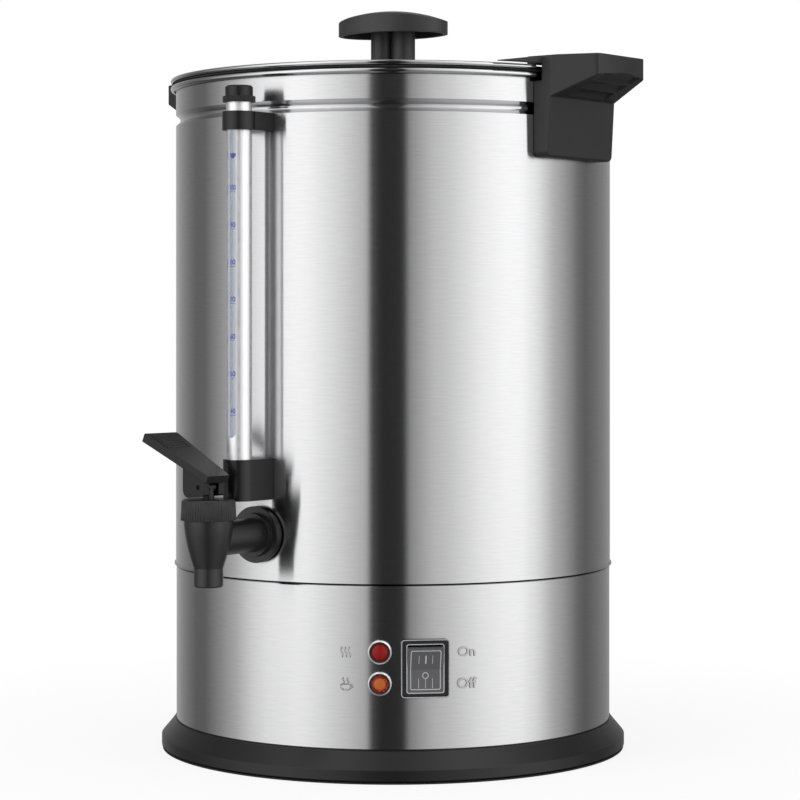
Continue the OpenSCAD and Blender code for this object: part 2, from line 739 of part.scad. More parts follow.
module tap_nut() color(STEEL) at(0, 0, tap_z) difference() {
    rod_out(tank_in_r - 4 - tap_nut_t, tank_in_r - 4, tap_thread_d + 13, 6);
    rod_out(tank_in_r - 20, tank_in_r, tap_thread_d + 2 * screw_clear);
}

// Fluted collar that screws onto the neck and guides the stem
module tap_collar() color(BLACK) at_tap() difference() {
    translate([0, 0, collar_z]) {
        cylinder(d1 = collar_d + 0.6, d2 = collar_d - 0.6, h = collar_h - 1);
        translate([0, 0, collar_h - 1])
            cylinder(d1 = collar_d - 0.6, d2 = collar_d - 2.6, h = 1);
    }
    translate([0, 0, collar_z - 1]) cylinder(r = neck_r + seat_gap, h = neck_top_z - collar_z + 1.2);
    translate([0, 0, collar_z - 1]) cylinder(d = stem_d + 2 * move_gap, h = far);
    for (i = [0:flute_count - 1]) rotate([0, 0, 360 * i / flute_count])
        translate([collar_d / 2 + 0.3, 0, collar_z - 1])
            cylinder(r = 0.75, h = collar_h + 2, $fn = 16);
}

// Silicone cup that closes the seat
module tap_seal() color("white") at_tap() translate([0, 0, seat_z + 0.2]) difference() {
    union() {
        cylinder(d1 = nozzle_bore_d + 5, d2 = stem_d + 5, h = 8);
        cylinder(d = stem_d + 5, h = seal_h);
    }
    translate([0, 0, 5]) cylinder(d = stem_d + 2 * pin_clear, h = seal_h);
}

module tap_spring() color(STEEL) at_tap()
    coil(stem_d / 2 + 2, 1, spring_z, neck_top_z, 5);

// Stem with a flat eye for the lever's pin
module tap_stem() color("black") at_tap() rotate([0, 0, lever_az]) difference() {
    union() {
        translate([0, 0, seat_z + 5.4]) cylinder(d = stem_d, h = pin_z - seat_z - 5.4);
        translate([-stem_flat_w / 2, 0, pin_z]) rotate([0, 90, 0]) cylinder(d = stem_d, h = stem_flat_w);
        translate([0, 0, stem_disc_z]) cylinder(d = stem_d + 6, h = stem_disc_t);
    }
    for (side = [-1, 1]) translate([side * stem_d - stem_d / 2 + side * (stem_flat_w - stem_d) / 2,
        -stem_d, pin_z - 4]) cube([stem_d, 2 * stem_d, 9]);
    translate([-stem_d, 0, pin_z]) rotate([0, 90, 0])
        cylinder(d = pin_d + 2 * pin_clear, h = 2 * stem_d);
}

// Paddle with grip ridges and two cam lugs that straddle the stem
module tap_lever() color(BLACK) at_tap() rotate([0, 0, lever_az]) translate([0, 0, pin_z])
    difference() {
        heel = 7.5;
        lug_w = lever_heel_w / 2 - lug_gap;
        lug_l = 13.8;
        foot = pin_rise - 0.3;
        under = 2.7;
        slope_l = (lever_l + heel) / cos(lever_slope);
        rib_l = 0.68 * lever_tip_w;
        rib_h = 0.5;
        rib_r = 1.1;
        union() {
            translate([0, heel, under]) rotate([-lever_slope, 0, 0]) {
                linear_extrude(lever_t) soft_poly([[-lever_heel_w / 2, 0, 0.8],
                    [-lever_tip_w / 2, -slope_l, 1.5], [lever_tip_w / 2, -slope_l, 1.5],
                    [lever_heel_w / 2, 0, 0.8]]);
                for (i = [0:5]) translate([-rib_l / 2, -slope_l + 4.2 + 3 * i, lever_t + rib_h - rib_r])
                    rotate([0, 90, 0]) cylinder(r = rib_r, h = rib_l, $fn = 32);
            }
            for (side = [-1, 1]) translate([side * (lug_gap + lug_w / 2) - lug_w / 2, 0, 0])
                rotate([90, 0, 90]) linear_extrude(lug_w) soft_poly([[4.6, -foot + 2, 1],
                    [-lug_l, -foot, 5], [-lug_l, under + (lug_l + heel) * tan(lever_slope) + 0.5, 0],
                    [5.2, under + 1.6, 0]]);
        }
        translate([-lever_heel_w, 0, 0]) rotate([0, 90, 0])
            cylinder(d = pin_d + 2 * pin_clear, h = 2 * lever_heel_w);
    }

module lever_pin() color(STEEL) at_tap() rotate([0, 0, lever_az])
    translate([-lever_heel_w / 2 + 0.4, 0, pin_z]) rotate([0, 90, 0])
        cylinder(d = pin_d, h = lever_heel_w - 0.8);

// Open coil of round wire
module coil(r, wire_d, z0, z1, turns) {
    sides = 6;
    rings = turns * 12;
    wire_r = wire_d / 2;
    points = [for (i = [0:rings]) let (turn = 360 * turns * i / rings,
        z = z0 + wire_r + (z1 - z0 - wire_d) * i / rings)
        for (j = [0:sides - 1]) let (q = r + wire_r * cos(360 * j / sides))
            [q * cos(turn), q * sin(turn), z + wire_r * sin(360 * j / sides)]];
    walls = [for (i = [0:rings - 1]) for (j = [0:sides - 1])
        let (a = i * sides + j, b = i * sides + (j + 1) % sides)
            each [[a, b, b + sides], [a, b + sides, a + sides]]];
    polyhedron(points, concat([[for (j = [sides - 1:-1:0]) j]], walls,
        [[for (j = [0:sides - 1]) rings * sides + j]]), convexity = 8);
}

// ---- sight gauge ----

module gauge_at() translate([0, -gauge_r, 0]) children();

// Cuts away what would lie inside the tank's shell
module clear_of_shell(r) translate([0, 0, -far / 4]) cylinder(r = r, h = 2 * far, $fn = 180);

// Block that holds the glass and joins it to the tank
module gauge_block() color(BLACK) difference() {
    union() {
        difference() {
            translate([0, 0, block_z]) linear_extrude(block_h) union() {
                translate([0, -gauge_r]) circle(d = block_w);
                polygon([[-block_w / 2, -gauge_r], [block_w / 2, -gauge_r],
                    [block_root_w / 2, -tank_r + 4], [-block_root_w / 2, -tank_r + 4]]);
            }
            clear_of_shell(tank_r + 0.1);
        }
        at(0, 0, port_z) rod_out(tank_in_r - 9, gauge_r, port_d);
    }
    gauge_at() translate([0, 0, glass_z - 2]) cylinder(r = glass_r + seat_gap, h = far);
    at(0, 0, port_z) rod_out(tank_in_r - 10, gauge_r, port_d - 5);
}

module gauge_nut() color(STEEL) at(0, 0, port_z) difference() {
    rod_out(tank_in_r - 6.4, tank_in_r - 1.2, port_d + 8, 6);
    rod_out(tank_in_r - 10, tank_in_r, port_d + 2 * screw_clear);
}

module gauge_seal() color("white") gauge_at()
    tube(glass_r, glass_r - 2 * glass_t, glass_z - 1.8, glass_z - 0.1);

module gauge_glass() color("aqua", 0.4) gauge_at()
    tube(glass_r, glass_r - glass_t, glass_z, cap_z - 2);

// Metal tube with a long window that shows the glass
module gauge_shield() color(STEEL) gauge_at() difference() {
    tube(shield_r, shield_r - shield_t, block_top_z, cap_z);
    translate([0, 0, block_top_z + window_rise + window_w / 2]) {
        rod_out(0, shield_d, window_w);
        translate([-window_w / 2, -shield_d, 0])
            cube([window_w, shield_d, cap_z - block_top_z - window_rise - window_w / 2 - 7]);
    }
}

// Screw cap with a fluted flange
module gauge_cap() color(BLACK) gauge_at() difference() {
    union() {
        translate([0, 0, cap_z + 0.1]) cylinder(d = cap_flange_d, h = cap_flange_h - 0.1);
        translate([0, 0, cap_z + cap_flange_h]) cylinder(d = cap_d, h = cap_h - 1);
        translate([0, 0, cap_z + cap_flange_h + cap_h - 1]) cylinder(d1 = cap_d, d2 = cap_d - 2, h = 1);
        translate([0, 0, cap_z - 1.6]) cylinder(r = shield_r - shield_t - 0.3, h = 2);
    }
    for (i = [0:cap_flute_count - 1]) rotate([0, 0, 360 * i / cap_flute_count])
        translate([cap_flange_d / 2 + 0.15, 0, cap_z - 1])
            cylinder(r = 0.45, h = cap_flange_h + 2, $fn = 16);
}

// Saddle that holds the shield off the shell
module gauge_clip() color(BLACK) difference() {
    translate([0, 0, clip_z - clip_h / 2]) linear_extrude(clip_h) difference() {
        union() {
            translate([0, -gauge_r]) circle(r = shield_r + seat_gap + clip_t);
            polygon([[-clip_root(), -gauge_r + 3], [clip_root(), -gauge_r + 3],
                [clip_root() + 0.6, -tank_r + 4], [-clip_root() - 0.6, -tank_r + 4]]);
        }
        translate([0, -gauge_r]) circle(r = shield_r + seat_gap);
    }
    clear_of_shell(tank_r + 0.1);
    at(0, 0, clip_z) rod_out(tank_r - 4, gauge_r - shield_r - 2, 4 + 2 * screw_clear);
}

function clip_root() = shield_r + seat_gap + clip_t;

module gauge_screw() color(STEEL) at(0, 0, clip_z) {
    rod_out(tank_in_r - 0.6, gauge_r - shield_r - 3, 4);
    rod_out(tank_in_r - 2.6, tank_in_r - 0.4, 8);
}

// ---- handles ----

module handle_screw_places() for (side = [0, 180]) for (row = [-1, 1])
    rotate([0, 0, handle_az + side]) translate([row * handle_screw_gap / 2, 0, handle_screw_z])
        children();

// Moulded handle: a pad on the shell, a wedge grip with finger flutes, a slot for the lid's
// edge, a hook over it and two wings that run out along the rim. The hook's inside is at +X.
module handle(az) color(BLACK) rotate([0, 0, az - 90]) {
    half_w = handle_w / 2;
    face_z = grip_top_z - grip_face_h;
    reach = tank_r + grip_reach;
    pad_face = tank_r + pad_t;
    slope = unit([reach - pad_face, face_z - pad_top_z]);
    tilt = atan2(slope[1], slope[0]);
    bulge_r = (grip_w * grip_w / 4 + grip_bulge * grip_bulge) / (2 * grip_bulge);
    flute_r = (flute_w * flute_w / 4 + flute_depth * flute_depth) / (2 * flute_depth);
    difference() {
        intersection() {
            translate([reach - bulge_r, 0, pad_z]) cylinder(r = bulge_r, h = pad_drop + grip_rise);
            translate([0, half_w, 0]) rotate([90, 0, 0]) linear_extrude(handle_w) soft_poly([
                [hook_r - 12, grip_top_z, 0], [hook_r - 12, pad_z, 0],
                [tank_r + pad_foot_t, pad_z, 2], [pad_face, pad_top_z, 0],
                [reach, face_z, 2], [reach, grip_top_z, 2.5]]);
            translate([0, 0, pad_z - 1]) linear_extrude(grip_top_z - pad_z + 2) soft_poly([
                [hook_r - 12, -half_w, 0], [pad_face, -half_w, 0], [reach, -grip_w / 2, 8],
                [reach, grip_w / 2, 8], [pad_face, half_w, 0], [hook_r - 12, half_w, 0]]);
            translate([hook_r - 13, 0, 0]) rotate([90, 0, 90]) linear_extrude(far / 4) soft_poly([
                [-half_w, pad_z, 4], [half_w, pad_z, 4], [half_w, grip_top_z, 1.5],
                [-half_w, grip_top_z, 1.5]]);
        }
        translate([0, 0, pad_z - 1]) cylinder(r = tank_r + 0.1, h = slot_z - pad_z + 1.5, $fn = 180);
        translate([0, 0, slot_z]) cylinder(r = slot_r, h = hook_z - slot_z, $fn = 180);
        translate([0, 0, slot_z]) cylinder(r = hook_r, h = far, $fn = 180);
        translate([pad_face, 0, pad_top_z]) rotate([0, -tilt, 0]) for (i = [0:2])
            translate([flute_w * (0.85 + 1.2 * i), grip_w / 2 - 5, flute_depth - flute_r])
                rotate([90, 0, 0]) cylinder(r = flute_r, h = grip_w - 10);
        for (row = [-1, 1]) translate([0, row * handle_screw_gap / 2, handle_screw_z])
            rotate([0, 90, 0]) cylinder(d = handle_screw_d + 2 * screw_clear, h = pad_face - 3.4);
    }
    wing_y = (lid_edge_r + 1) * sin(wing_angle);
    intersection() {
        tube(lid_edge_r + move_gap + wing_t, lid_edge_r + move_gap, hook_z, grip_top_z);
        rotate([90, 0, 90]) linear_extrude(far) polygon([
            [-wing_y, hook_z], [wing_y, hook_z], [wing_y, hook_z + 0.6], [half_w - 2, grip_top_z],
            [2 - half_w, grip_top_z], [-wing_y, hook_z + 0.6]]);
    }
}

module handle_right() handle(handle_az);
module handle_left() handle(handle_az + 180);

module handle_screws() color(STEEL) handle_screw_places() {
    reach = sqrt(pow(tank_in_r, 2) - pow(handle_screw_gap / 2 + 5, 2));
    rod_out(reach - 1, tank_r + pad_foot_t - 2.6, handle_screw_d);
    rod_out(reach - 2.8, reach - 0.3, handle_screw_d + 4);
}

// ---- lid ----

module lid_seal() color("black")
    tube(lid_edge_r - 1, lid_edge_r - 5, rim_top_z + seat_gap, rim_top_z + seat_gap + seal_t);

// Pressed lid: a rolled edge with two notches for the hooks, a locating channel and a dome
module lid() color(STEEL) difference() {
    rotate_extrude($fn = 180) {
        steps = 12;
        top = lid_top_z;
        under = top - sheet_t;
        dome = function (r) dome_h * (1 - r * r / (dome_edge_r * dome_edge_r));
        translate([lid_edge_r - lid_roll_r, lid_roll_z]) circle(r = lid_roll_r, $fn = 24);
        polygon(concat([[lid_edge_r - lid_roll_r, top], [channel_r, top],
            [channel_r, top - channel_depth + sheet_t],
            [dome_edge_r + sheet_t, top - channel_depth + sheet_t],
            [dome_edge_r + sheet_t, top]],
            [for (i = [0:steps]) let (r = dome_edge_r * (1 - i / steps)) [r, top + dome(r)]],
            [for (i = [0:steps]) let (r = dome_edge_r * i / steps)
                [r, under + dome(r)]],
            [[dome_edge_r, top - channel_depth], [channel_r + sheet_t, top - channel_depth],
            [channel_r + sheet_t, under], [lid_edge_r - lid_roll_r, under]]));
    }
    rotate([0, 0, handle_az - 90]) intersection() {
        translate([-far, -handle_w / 2 - 1.4, rim_z]) cube([2 * far, handle_w + 2.8, 30]);
        tube(far, hook_r - 1, rim_z, rim_z + 30);
    }
    lobe_places() translate([0, 0, rim_z])
        cylinder(d = handle_screw_d + 2 * screw_clear, h = far);
}

// ---- knob ----

module lobe_places() rotate([0, 0, knob_az - 90]) for (side = [-1, 1])
    translate([side * lobe_gap / 2, 0, 0]) children();

// Oval knob, hollow underneath with two ribs, on a post of two lobes
module knob() color(BLACK) difference() {
    foot_z = dome_z - 0.6;
    union() {
        difference() {
            intersection() {
                rotate([0, 0, knob_az - 90]) translate([0, 0, knob_plate_z])
                    linear_extrude(knob_rim_h + knob_crown) oval(knob_l / 2, knob_w / 2, knob_end_r);
                ball_r = (knob_l * knob_l / 4 + knob_crown * knob_crown) / (2 * knob_crown);
                translate([0, 0, knob_plate_z + knob_rim_h + knob_crown - ball_r])
                    sphere(r = ball_r, $fn = 180);
            }
            rotate([0, 0, knob_az - 90]) difference() {
                translate([0, 0, knob_plate_z - 1]) linear_extrude(knob_rim_h - knob_t + 1)
                    oval(knob_l / 2 - knob_t, knob_w / 2 - knob_t, knob_end_r - knob_t);
                for (turn = [0, 90]) rotate([0, 0, turn]) translate([-far / 2, -1, 0])
                    translate([0, 0, knob_plate_z + 3]) cube([far, 2, far]);
            }
        }
        lobe_places() translate([0, 0, foot_z])
            cylinder(d = lobe_d, h = knob_plate_z + knob_rim_h - knob_t / 2 - foot_z);
    }
    translate([0, 0, lid_top_z]) rotate_extrude($fn = 180) polygon(concat(
        [[0, -1], [dome_edge_r, -1]],
        [for (i = [0:12]) let (r = dome_edge_r * (1 - i / 12))
            [r, dome_h * (1 - r * r / (dome_edge_r * dome_edge_r)) + 0.1]]));
    lobe_places() translate([0, 0, rim_z])
        cylinder(d = handle_screw_d + 2 * screw_clear, h = knob_plate_z - 4 - rim_z);
}

module knob_screws() color(STEEL) lobe_places() {
    under_z = dome_z - sheet_t - 0.3;
    translate([0, 0, under_z - 2.5]) cylinder(d = handle_screw_d + 4, h = 2.2);
    translate([0, 0, under_z - 1]) cylinder(d = handle_screw_d, h = knob_plate_z - 5 - under_z);
}

// ---- brewing set ----

// Bell-shaped foot that stands in the well
module pump_base() color(STEEL) rotate_extrude() {
    foot_r = pump_d / 2;
    neck_r = tube_d / 2 + pin_clear;
    polygon([[foot_r, pump_z], [foot_r, pump_z + 4], [foot_r - 10, pump_z + 8],
        [neck_r + 4, bell_z - 4], [neck_r + 2, bell_z], [neck_r, bell_z], [neck_r, bell_z - 6],
        [foot_r - 11, pump_z + 6], [foot_r - 2, pump_z + 3], [foot_r - 2, pump_z]]);
}

// Riser tube with a collar that carries the basket
module pump_tube() color(STEEL) {
    tube(tube_d / 2, tube_bore_d / 2, bell_z - 5, tube_top_z);
    tube(tube_d / 2 + 5, tube_d / 2 - 0.2, basket_z - 3.2, basket_z - 0.2);
}

module brewing_holes(z, r_in, r_out) {
    rings = 3;
    for (ring = [0:rings - 1]) {
        holes = hole_count + 8 * ring;
        for (i = [0:holes - 1]) rotate([0, 0, 360 * (i + ring / 2) / holes])
            translate([r_in + (r_out - r_in) * ring / (rings - 1), 0, z])
                cylinder(d = hole_d, h = 6, $fn = 16);
    }
}

// Perforated basket with a sleeve that slides down the tube
module coffee_basket() color(STEEL) difference() {
    sleeve_r = tube_d / 2 + move_gap;
    rotate_extrude() {
        polygon([[sleeve_r, basket_z], [basket_r, basket_z], [basket_r, basket_top_z],
            [basket_r + 3, basket_top_z], [basket_r + 3, basket_top_z + sheet_t],
            [basket_r - sheet_t, basket_top_z + sheet_t], [basket_r - sheet_t, basket_z + sheet_t],
            [sleeve_r + sheet_t, basket_z + sheet_t], [sleeve_r + sheet_t, basket_top_z - 6],
            [sleeve_r, basket_top_z - 6]]);
    }
    brewing_holes(basket_z - 2, basket_r * 0.28, basket_r * 0.84);
}

// Spreader that covers the basket
module basket_cover() color(STEEL) difference() {
    low_z = basket_top_z + sheet_t + 0.2;
    cover_r = basket_r + 2;
    hole_r = tube_d / 2 + move_gap;
    rotate_extrude() polygon([[hole_r, low_z - 2], [basket_r - 8, low_z - 2], [basket_r - 4, low_z],
        [cover_r, low_z], [cover_r, low_z + 3], [cover_r - sheet_t, low_z + 3],
        [cover_r - sheet_t, low_z + sheet_t], [basket_r - 4.4, low_z + sheet_t],
        [basket_r - 8.4, low_z - 2 + sheet_t], [hole_r, low_z - 2 + sheet_t]]);
    brewing_holes(low_z - 4, basket_r * 0.28, basket_r * 0.8);
}

base_ring();
base_plate();
base_screws();
rubber_foot();
lower_band();
tie_rod();
tank_shell();
tank_floor();
heater_plate();
heating_tube();
thermostats();
inlet_socket();
inlet_pins();
switch_frame();
rocker();
lamp_rings();
heating_lens();
warm_lens();
lamp_bodies();
tap_body();
tap_washers();
tap_nut();
tap_collar();
tap_seal();
tap_spring();
tap_stem();
tap_lever();
lever_pin();
gauge_block();
gauge_nut();
gauge_seal();
gauge_glass();
gauge_shield();
gauge_cap();
gauge_clip();
gauge_screw();
handle_right();
handle_left();
handle_screws();
lid_seal();
lid();
knob();
knob_screws();
pump_base();
pump_tube();
coffee_basket();
basket_cover();
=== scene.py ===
# Coffee urn, dressed over its CAD frame. Metres; the tap faces -Y and +Z is up.
# Places round the urn are azimuths in degrees, from the tap towards +X.
import math

import bpy
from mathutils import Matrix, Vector


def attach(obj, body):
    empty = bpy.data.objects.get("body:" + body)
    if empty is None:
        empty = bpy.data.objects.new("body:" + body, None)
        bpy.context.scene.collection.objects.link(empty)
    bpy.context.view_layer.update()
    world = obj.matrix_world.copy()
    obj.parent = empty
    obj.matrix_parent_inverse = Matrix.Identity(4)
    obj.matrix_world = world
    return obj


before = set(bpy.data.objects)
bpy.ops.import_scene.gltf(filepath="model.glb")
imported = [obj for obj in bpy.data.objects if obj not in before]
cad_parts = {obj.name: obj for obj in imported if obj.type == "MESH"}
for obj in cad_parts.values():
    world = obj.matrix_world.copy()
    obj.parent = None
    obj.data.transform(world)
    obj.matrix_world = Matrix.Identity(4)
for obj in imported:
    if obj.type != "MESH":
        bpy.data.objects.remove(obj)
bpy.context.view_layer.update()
bpy.ops.object.select_all(action="DESELECT")

# ---- Base ring and foot ----
# The skirt is black polypropylene, injection moulded with a fine spark-eroded grain, and it
# snaps inside the band's lower edge. It stands on a ring of soft black rubber.
PATCH_MM = 25


def linear(code):
    """An sRGB hex colour as linear red, green, blue and alpha."""
    parts = [int(code[i : i + 2], 16) / 255 for i in (1, 3, 5)]
    return [p / 12.92 if p <= 0.04045 else ((p + 0.055) / 1.055) ** 2.4 for p in parts] + [1]


def put(tree, kind, sockets=None, **settings):
    """Adds a node with its settings, and sets or links its sockets."""
    made = tree.nodes.new("ShaderNode" + kind)
    for name, value in settings.items():
        setattr(made, name, value)
    for name, value in (sockets or {}).items():
        if isinstance(value, bpy.types.NodeSocket):
            tree.links.new(value, made.inputs[name])
        else:
            made.inputs[name].default_value = value
    return made


def start_material(name):
    """An empty material, its tree and the place that its patterns follow."""
    material = bpy.data.materials.new(name)
    material.use_nodes = True
    material.node_tree.nodes.clear()
    place = put(material.node_tree, "TexCoord").outputs["Object"]
    return material, material.node_tree, place


def moulded(name, dark, light, roughness, grain_mm, relief_mm, edge_mm, shine=0.5):
    """Moulded plastic or rubber: slightly uneven colour, mould grain and soft edges.

    Real mould grain is 0.1 to 0.3 mm wide. It is drawn coarser than that, so that it shows.
    """
    material, tree, place = start_material(name)
    patches = put(tree, "TexNoise", {"Vector": place, "Scale": 1000 / PATCH_MM, "Detail": 4})
    colour = put(
        tree, "Mix", {0: patches.outputs[0], 6: linear(dark), 7: linear(light)}, data_type="RGBA"
    )
    grain = put(tree, "TexNoise", {"Vector": place, "Scale": 1000 / grain_mm, "Detail": 2})
    matt = put(
        tree,
        "MapRange",
        {0: grain.outputs[0], 1: 0.3, 2: 0.7, 3: roughness - 0.04, 4: roughness + 0.05},
    )
    edge = put(tree, "Bevel", {"Radius": edge_mm / 1000}, samples=4)
    bump = put(
        tree,
        "Bump",
        {
            "Strength": 0.5,
            "Distance": relief_mm / 1000,
            "Height": grain.outputs[0],
            "Normal": edge.outputs[0],
        },
    )
    shader = put(
        tree,
        "BsdfPrincipled",
        {
            "Base Color": colour.outputs[2],
            "Roughness": matt.outputs[0],
            "Specular IOR Level": shine,
            "Normal": bump.outputs[0],
        },
    )
    put(tree, "OutputMaterial", {"Surface": shader.outputs[0]})
    return material


def dress(material, *names):
    """Gives CAD nodes their real finish."""
    for name in names:
        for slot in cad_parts[name].material_slots:
            slot.material = material


# Its grain breaks the highlights up into a soft sheen. The real grain is about 0.2 mm; it is
# drawn at 0.5 mm so that it shows.
black_polypropylene = moulded(
    "black_polypropylene", "#111112", "#171718",
    roughness=0.33, grain_mm=0.5, relief_mm=0.02, edge_mm=0.6, shine=0.4,
)
dress(black_polypropylene, "base_ring")
# Rubber is the dullest black on the urn and has hardly any highlights.
black_rubber = moulded(
    "black_epdm_rubber", "#161616", "#1f1e1d",
    roughness=0.78, grain_mm=0.8, relief_mm=0.05, edge_mm=0.4,
)
dress(black_rubber, "rubber_foot", "lid_seal")

# ---- Base plate, its screws and the tie rod ----
# The bottom is a pressed plate of galvanised steel, held up by zinc-plated screws in the skirt
# and by a rod from the tank's floor with a nut below the plate.


def bare_metal(name, dark, light, roughness, patch_mm, relief_mm=0.01):
    """Plain sheet, turned or cast metal with faint patches of tone and gloss."""
    material, tree, place = start_material(name)
    patches = put(
        tree, "TexNoise", {"Vector": place, "Scale": 1000 / patch_mm, "Detail": 5, "Roughness": 0.6}
    )
    colour = put(
        tree, "Mix", {0: patches.outputs[0], 6: linear(dark), 7: linear(light)}, data_type="RGBA"
    )
    matt = put(
        tree,
        "MapRange",
        {0: patches.outputs[0], 1: 0.3, 2: 0.7, 3: roughness * 0.85, 4: roughness * 1.2},
    )
    bump = put(
        tree,
        "Bump",
        {"Strength": 0.4, "Distance": relief_mm / 1000, "Height": patches.outputs[0]},
    )
    shader = put(
        tree,
        "BsdfPrincipled",
        {
            "Base Color": colour.outputs[2],
            "Metallic": 1,
            "Roughness": matt.outputs[0],
            "Normal": bump.outputs[0],
        },
    )
    put(tree, "OutputMaterial", {"Surface": shader.outputs[0]})
    return material


# Zinc's crystals leave the plate a dull grey, mottled in large patches.
galvanised_steel = bare_metal(
    "galvanised_steel", "#9a9c9d", "#b9bbbc", roughness=0.38, patch_mm=9
)
dress(galvanised_steel, "base_plate")
# Bright zinc gives the screws and nuts a cool, slightly uneven shine.
zinc_plated_steel = bare_metal(
    "zinc_plated_steel", "#b4b4b0", "#cfcfca", roughness=0.26, patch_mm=4
)
dress(zinc_plated_steel, "base_screws", "tie_rod", "tap_nut", "gauge_nut", "gauge_screw")
dress(zinc_plated_steel, "handle_screws", "knob_screws")

# ---- Lower band and tank shell ----
# Both are 0.8 mm sheets of stainless steel, rolled and welded at the back, brushed round the
# urn with a fine belt, then pressed with the groove and the polished roll at the rim.
SHELL_R = 0.148
LINE_MM = 0.9  # the belt's lines are about 0.1 mm apart, drawn coarser so that they show
STREAK_MM = 14
LINE_DEEP = 0.00006
RIM_FROM = 0.4434  # the polished roll lies above this height and past this radius
RIM_R = 0.1474
POLISH_FADE = 0.0006
WELD_EDGE = 0.005  # half the weld's width, in radians, and half of its even middle
WELD_MIDDLE = 0.002
# the painted shade in narrow gaps reaches this far
GAP_REACH = 0.006
SHADOW_FROM = 0.0019  # how far below the shell's foot its shadow starts, and where it is full
SHADOW_FULL = 0.0011
FLARE_HIGH = 0.0022  # how far up the flare shines like the wall, and where that has faded
FLARE_END = 0.003
UPRIGHT_FROM = 0.996  # cosines of a wall's lean from which it counts as round, and in full
UPRIGHT_FULL = 0.999


def belt_lines(tree, xyz, turn, radius):
    """The belt's lines, long round the urn and thin up its wall and across its lid."""
    along = put(tree, "Math", {0: turn, 1: SHELL_R * 1000 / STREAK_MM}, operation="MULTIPLY")
    across = put(tree, "Math", {0: xyz[2], 1: radius}, operation="ADD")
    across = put(tree, "Math", {0: across.outputs[0], 1: 1000 / LINE_MM}, operation="MULTIPLY")
    flow = put(tree, "CombineXYZ", {0: along.outputs[0], 2: across.outputs[0]})
    noise = {"Vector": flow.outputs[0], "Scale": 1, "Detail": 5, "Roughness": 0.65}
    return put(tree, "TexNoise", noise).outputs[0]


def with_weld(tree, colour, turn, weld_tone):
    """Adds the weld, about 1 mm wide and ground flush, at the back of the urn."""
    back = put(tree, "Math", {0: turn}, operation="ABSOLUTE")
    weld = put(
        tree,
        "MapRange",
        {0: back.outputs[0], 1: math.pi - WELD_EDGE, 2: math.pi - WELD_MIDDLE, 4: weld_tone},
    )
    mixed = {0: weld.outputs[0], 6: colour, 7: linear("#8c8a87")}
    return put(tree, "Mix", mixed, data_type="RGBA").outputs[2]


def with_shadow(tree, colour, height, shade_z):
    """Paints shade in narrow gaps, as at the seam, and a shadow under the shell's flared foot."""
    gap = put(tree, "AmbientOcclusion", {"Distance": GAP_REACH}, samples=6)
    lit = put(tree, "MapRange", {0: gap.outputs["AO"], 1: 0.15, 2: 0.6, 3: 0.15})
    shoulder = put(
        tree,
        "MapRange",
        {0: height, 1: shade_z - SHADOW_FROM, 2: shade_z - SHADOW_FULL, 3: 1, 4: 0.06},
    )
    lit = put(tree, "Math", {0: lit.outputs[0], 1: shoulder.outputs[0]}, operation="MULTIPLY")
    # the painted shade and shadow are this near black
    mixed = {0: lit.outputs[0], 6: linear("#0c0c0c"), 7: colour}
    return put(tree, "Mix", mixed, data_type="RGBA").outputs[2]


def round_normal(tree, flat, height, foot_z):
    """Normals straight out from the axis on the round wall, where the mesh's lean by its seam."""
    normal = put(tree, "NewGeometry").outputs["Normal"]
    outward = put(tree, "VectorMath", {0: flat}, operation="NORMALIZE")
    outward = put(
        tree,
        "VectorTransform",
        {0: outward.outputs[0]},
        vector_type="VECTOR",
        convert_from="OBJECT",
        convert_to="WORLD",
    ).outputs[0]
    lean = put(tree, "VectorMath", {0: outward, 1: normal}, operation="DOT_PRODUCT")
    side = put(tree, "Math", {0: lean.outputs["Value"]}, operation="SIGN")
    wall = put(tree, "VectorMath", {0: outward, "Scale": side.outputs[0]}, operation="SCALE")
    upright = put(tree, "Math", {0: lean.outputs["Value"]}, operation="ABSOLUTE")
    upright = put(tree, "MapRange", {0: upright.outputs[0], 1: UPRIGHT_FROM, 2: UPRIGHT_FULL})
    # The last 2 mm above the seam flare out so little that they shine like the wall.
    foot = put(
        tree,
        "MapRange",
        {0: height, 1: foot_z + FLARE_HIGH, 2: foot_z + FLARE_END, 3: 1, 4: 0},
    )
    upright = put(tree, "Math", {0: upright.outputs[0], 1: foot.outputs[0]}, operation="MAXIMUM")
    mixed = {0: upright.outputs[0], 4: normal, 5: wall.outputs[0]}
    return put(tree, "Mix", mixed, data_type="VECTOR").outputs[1]


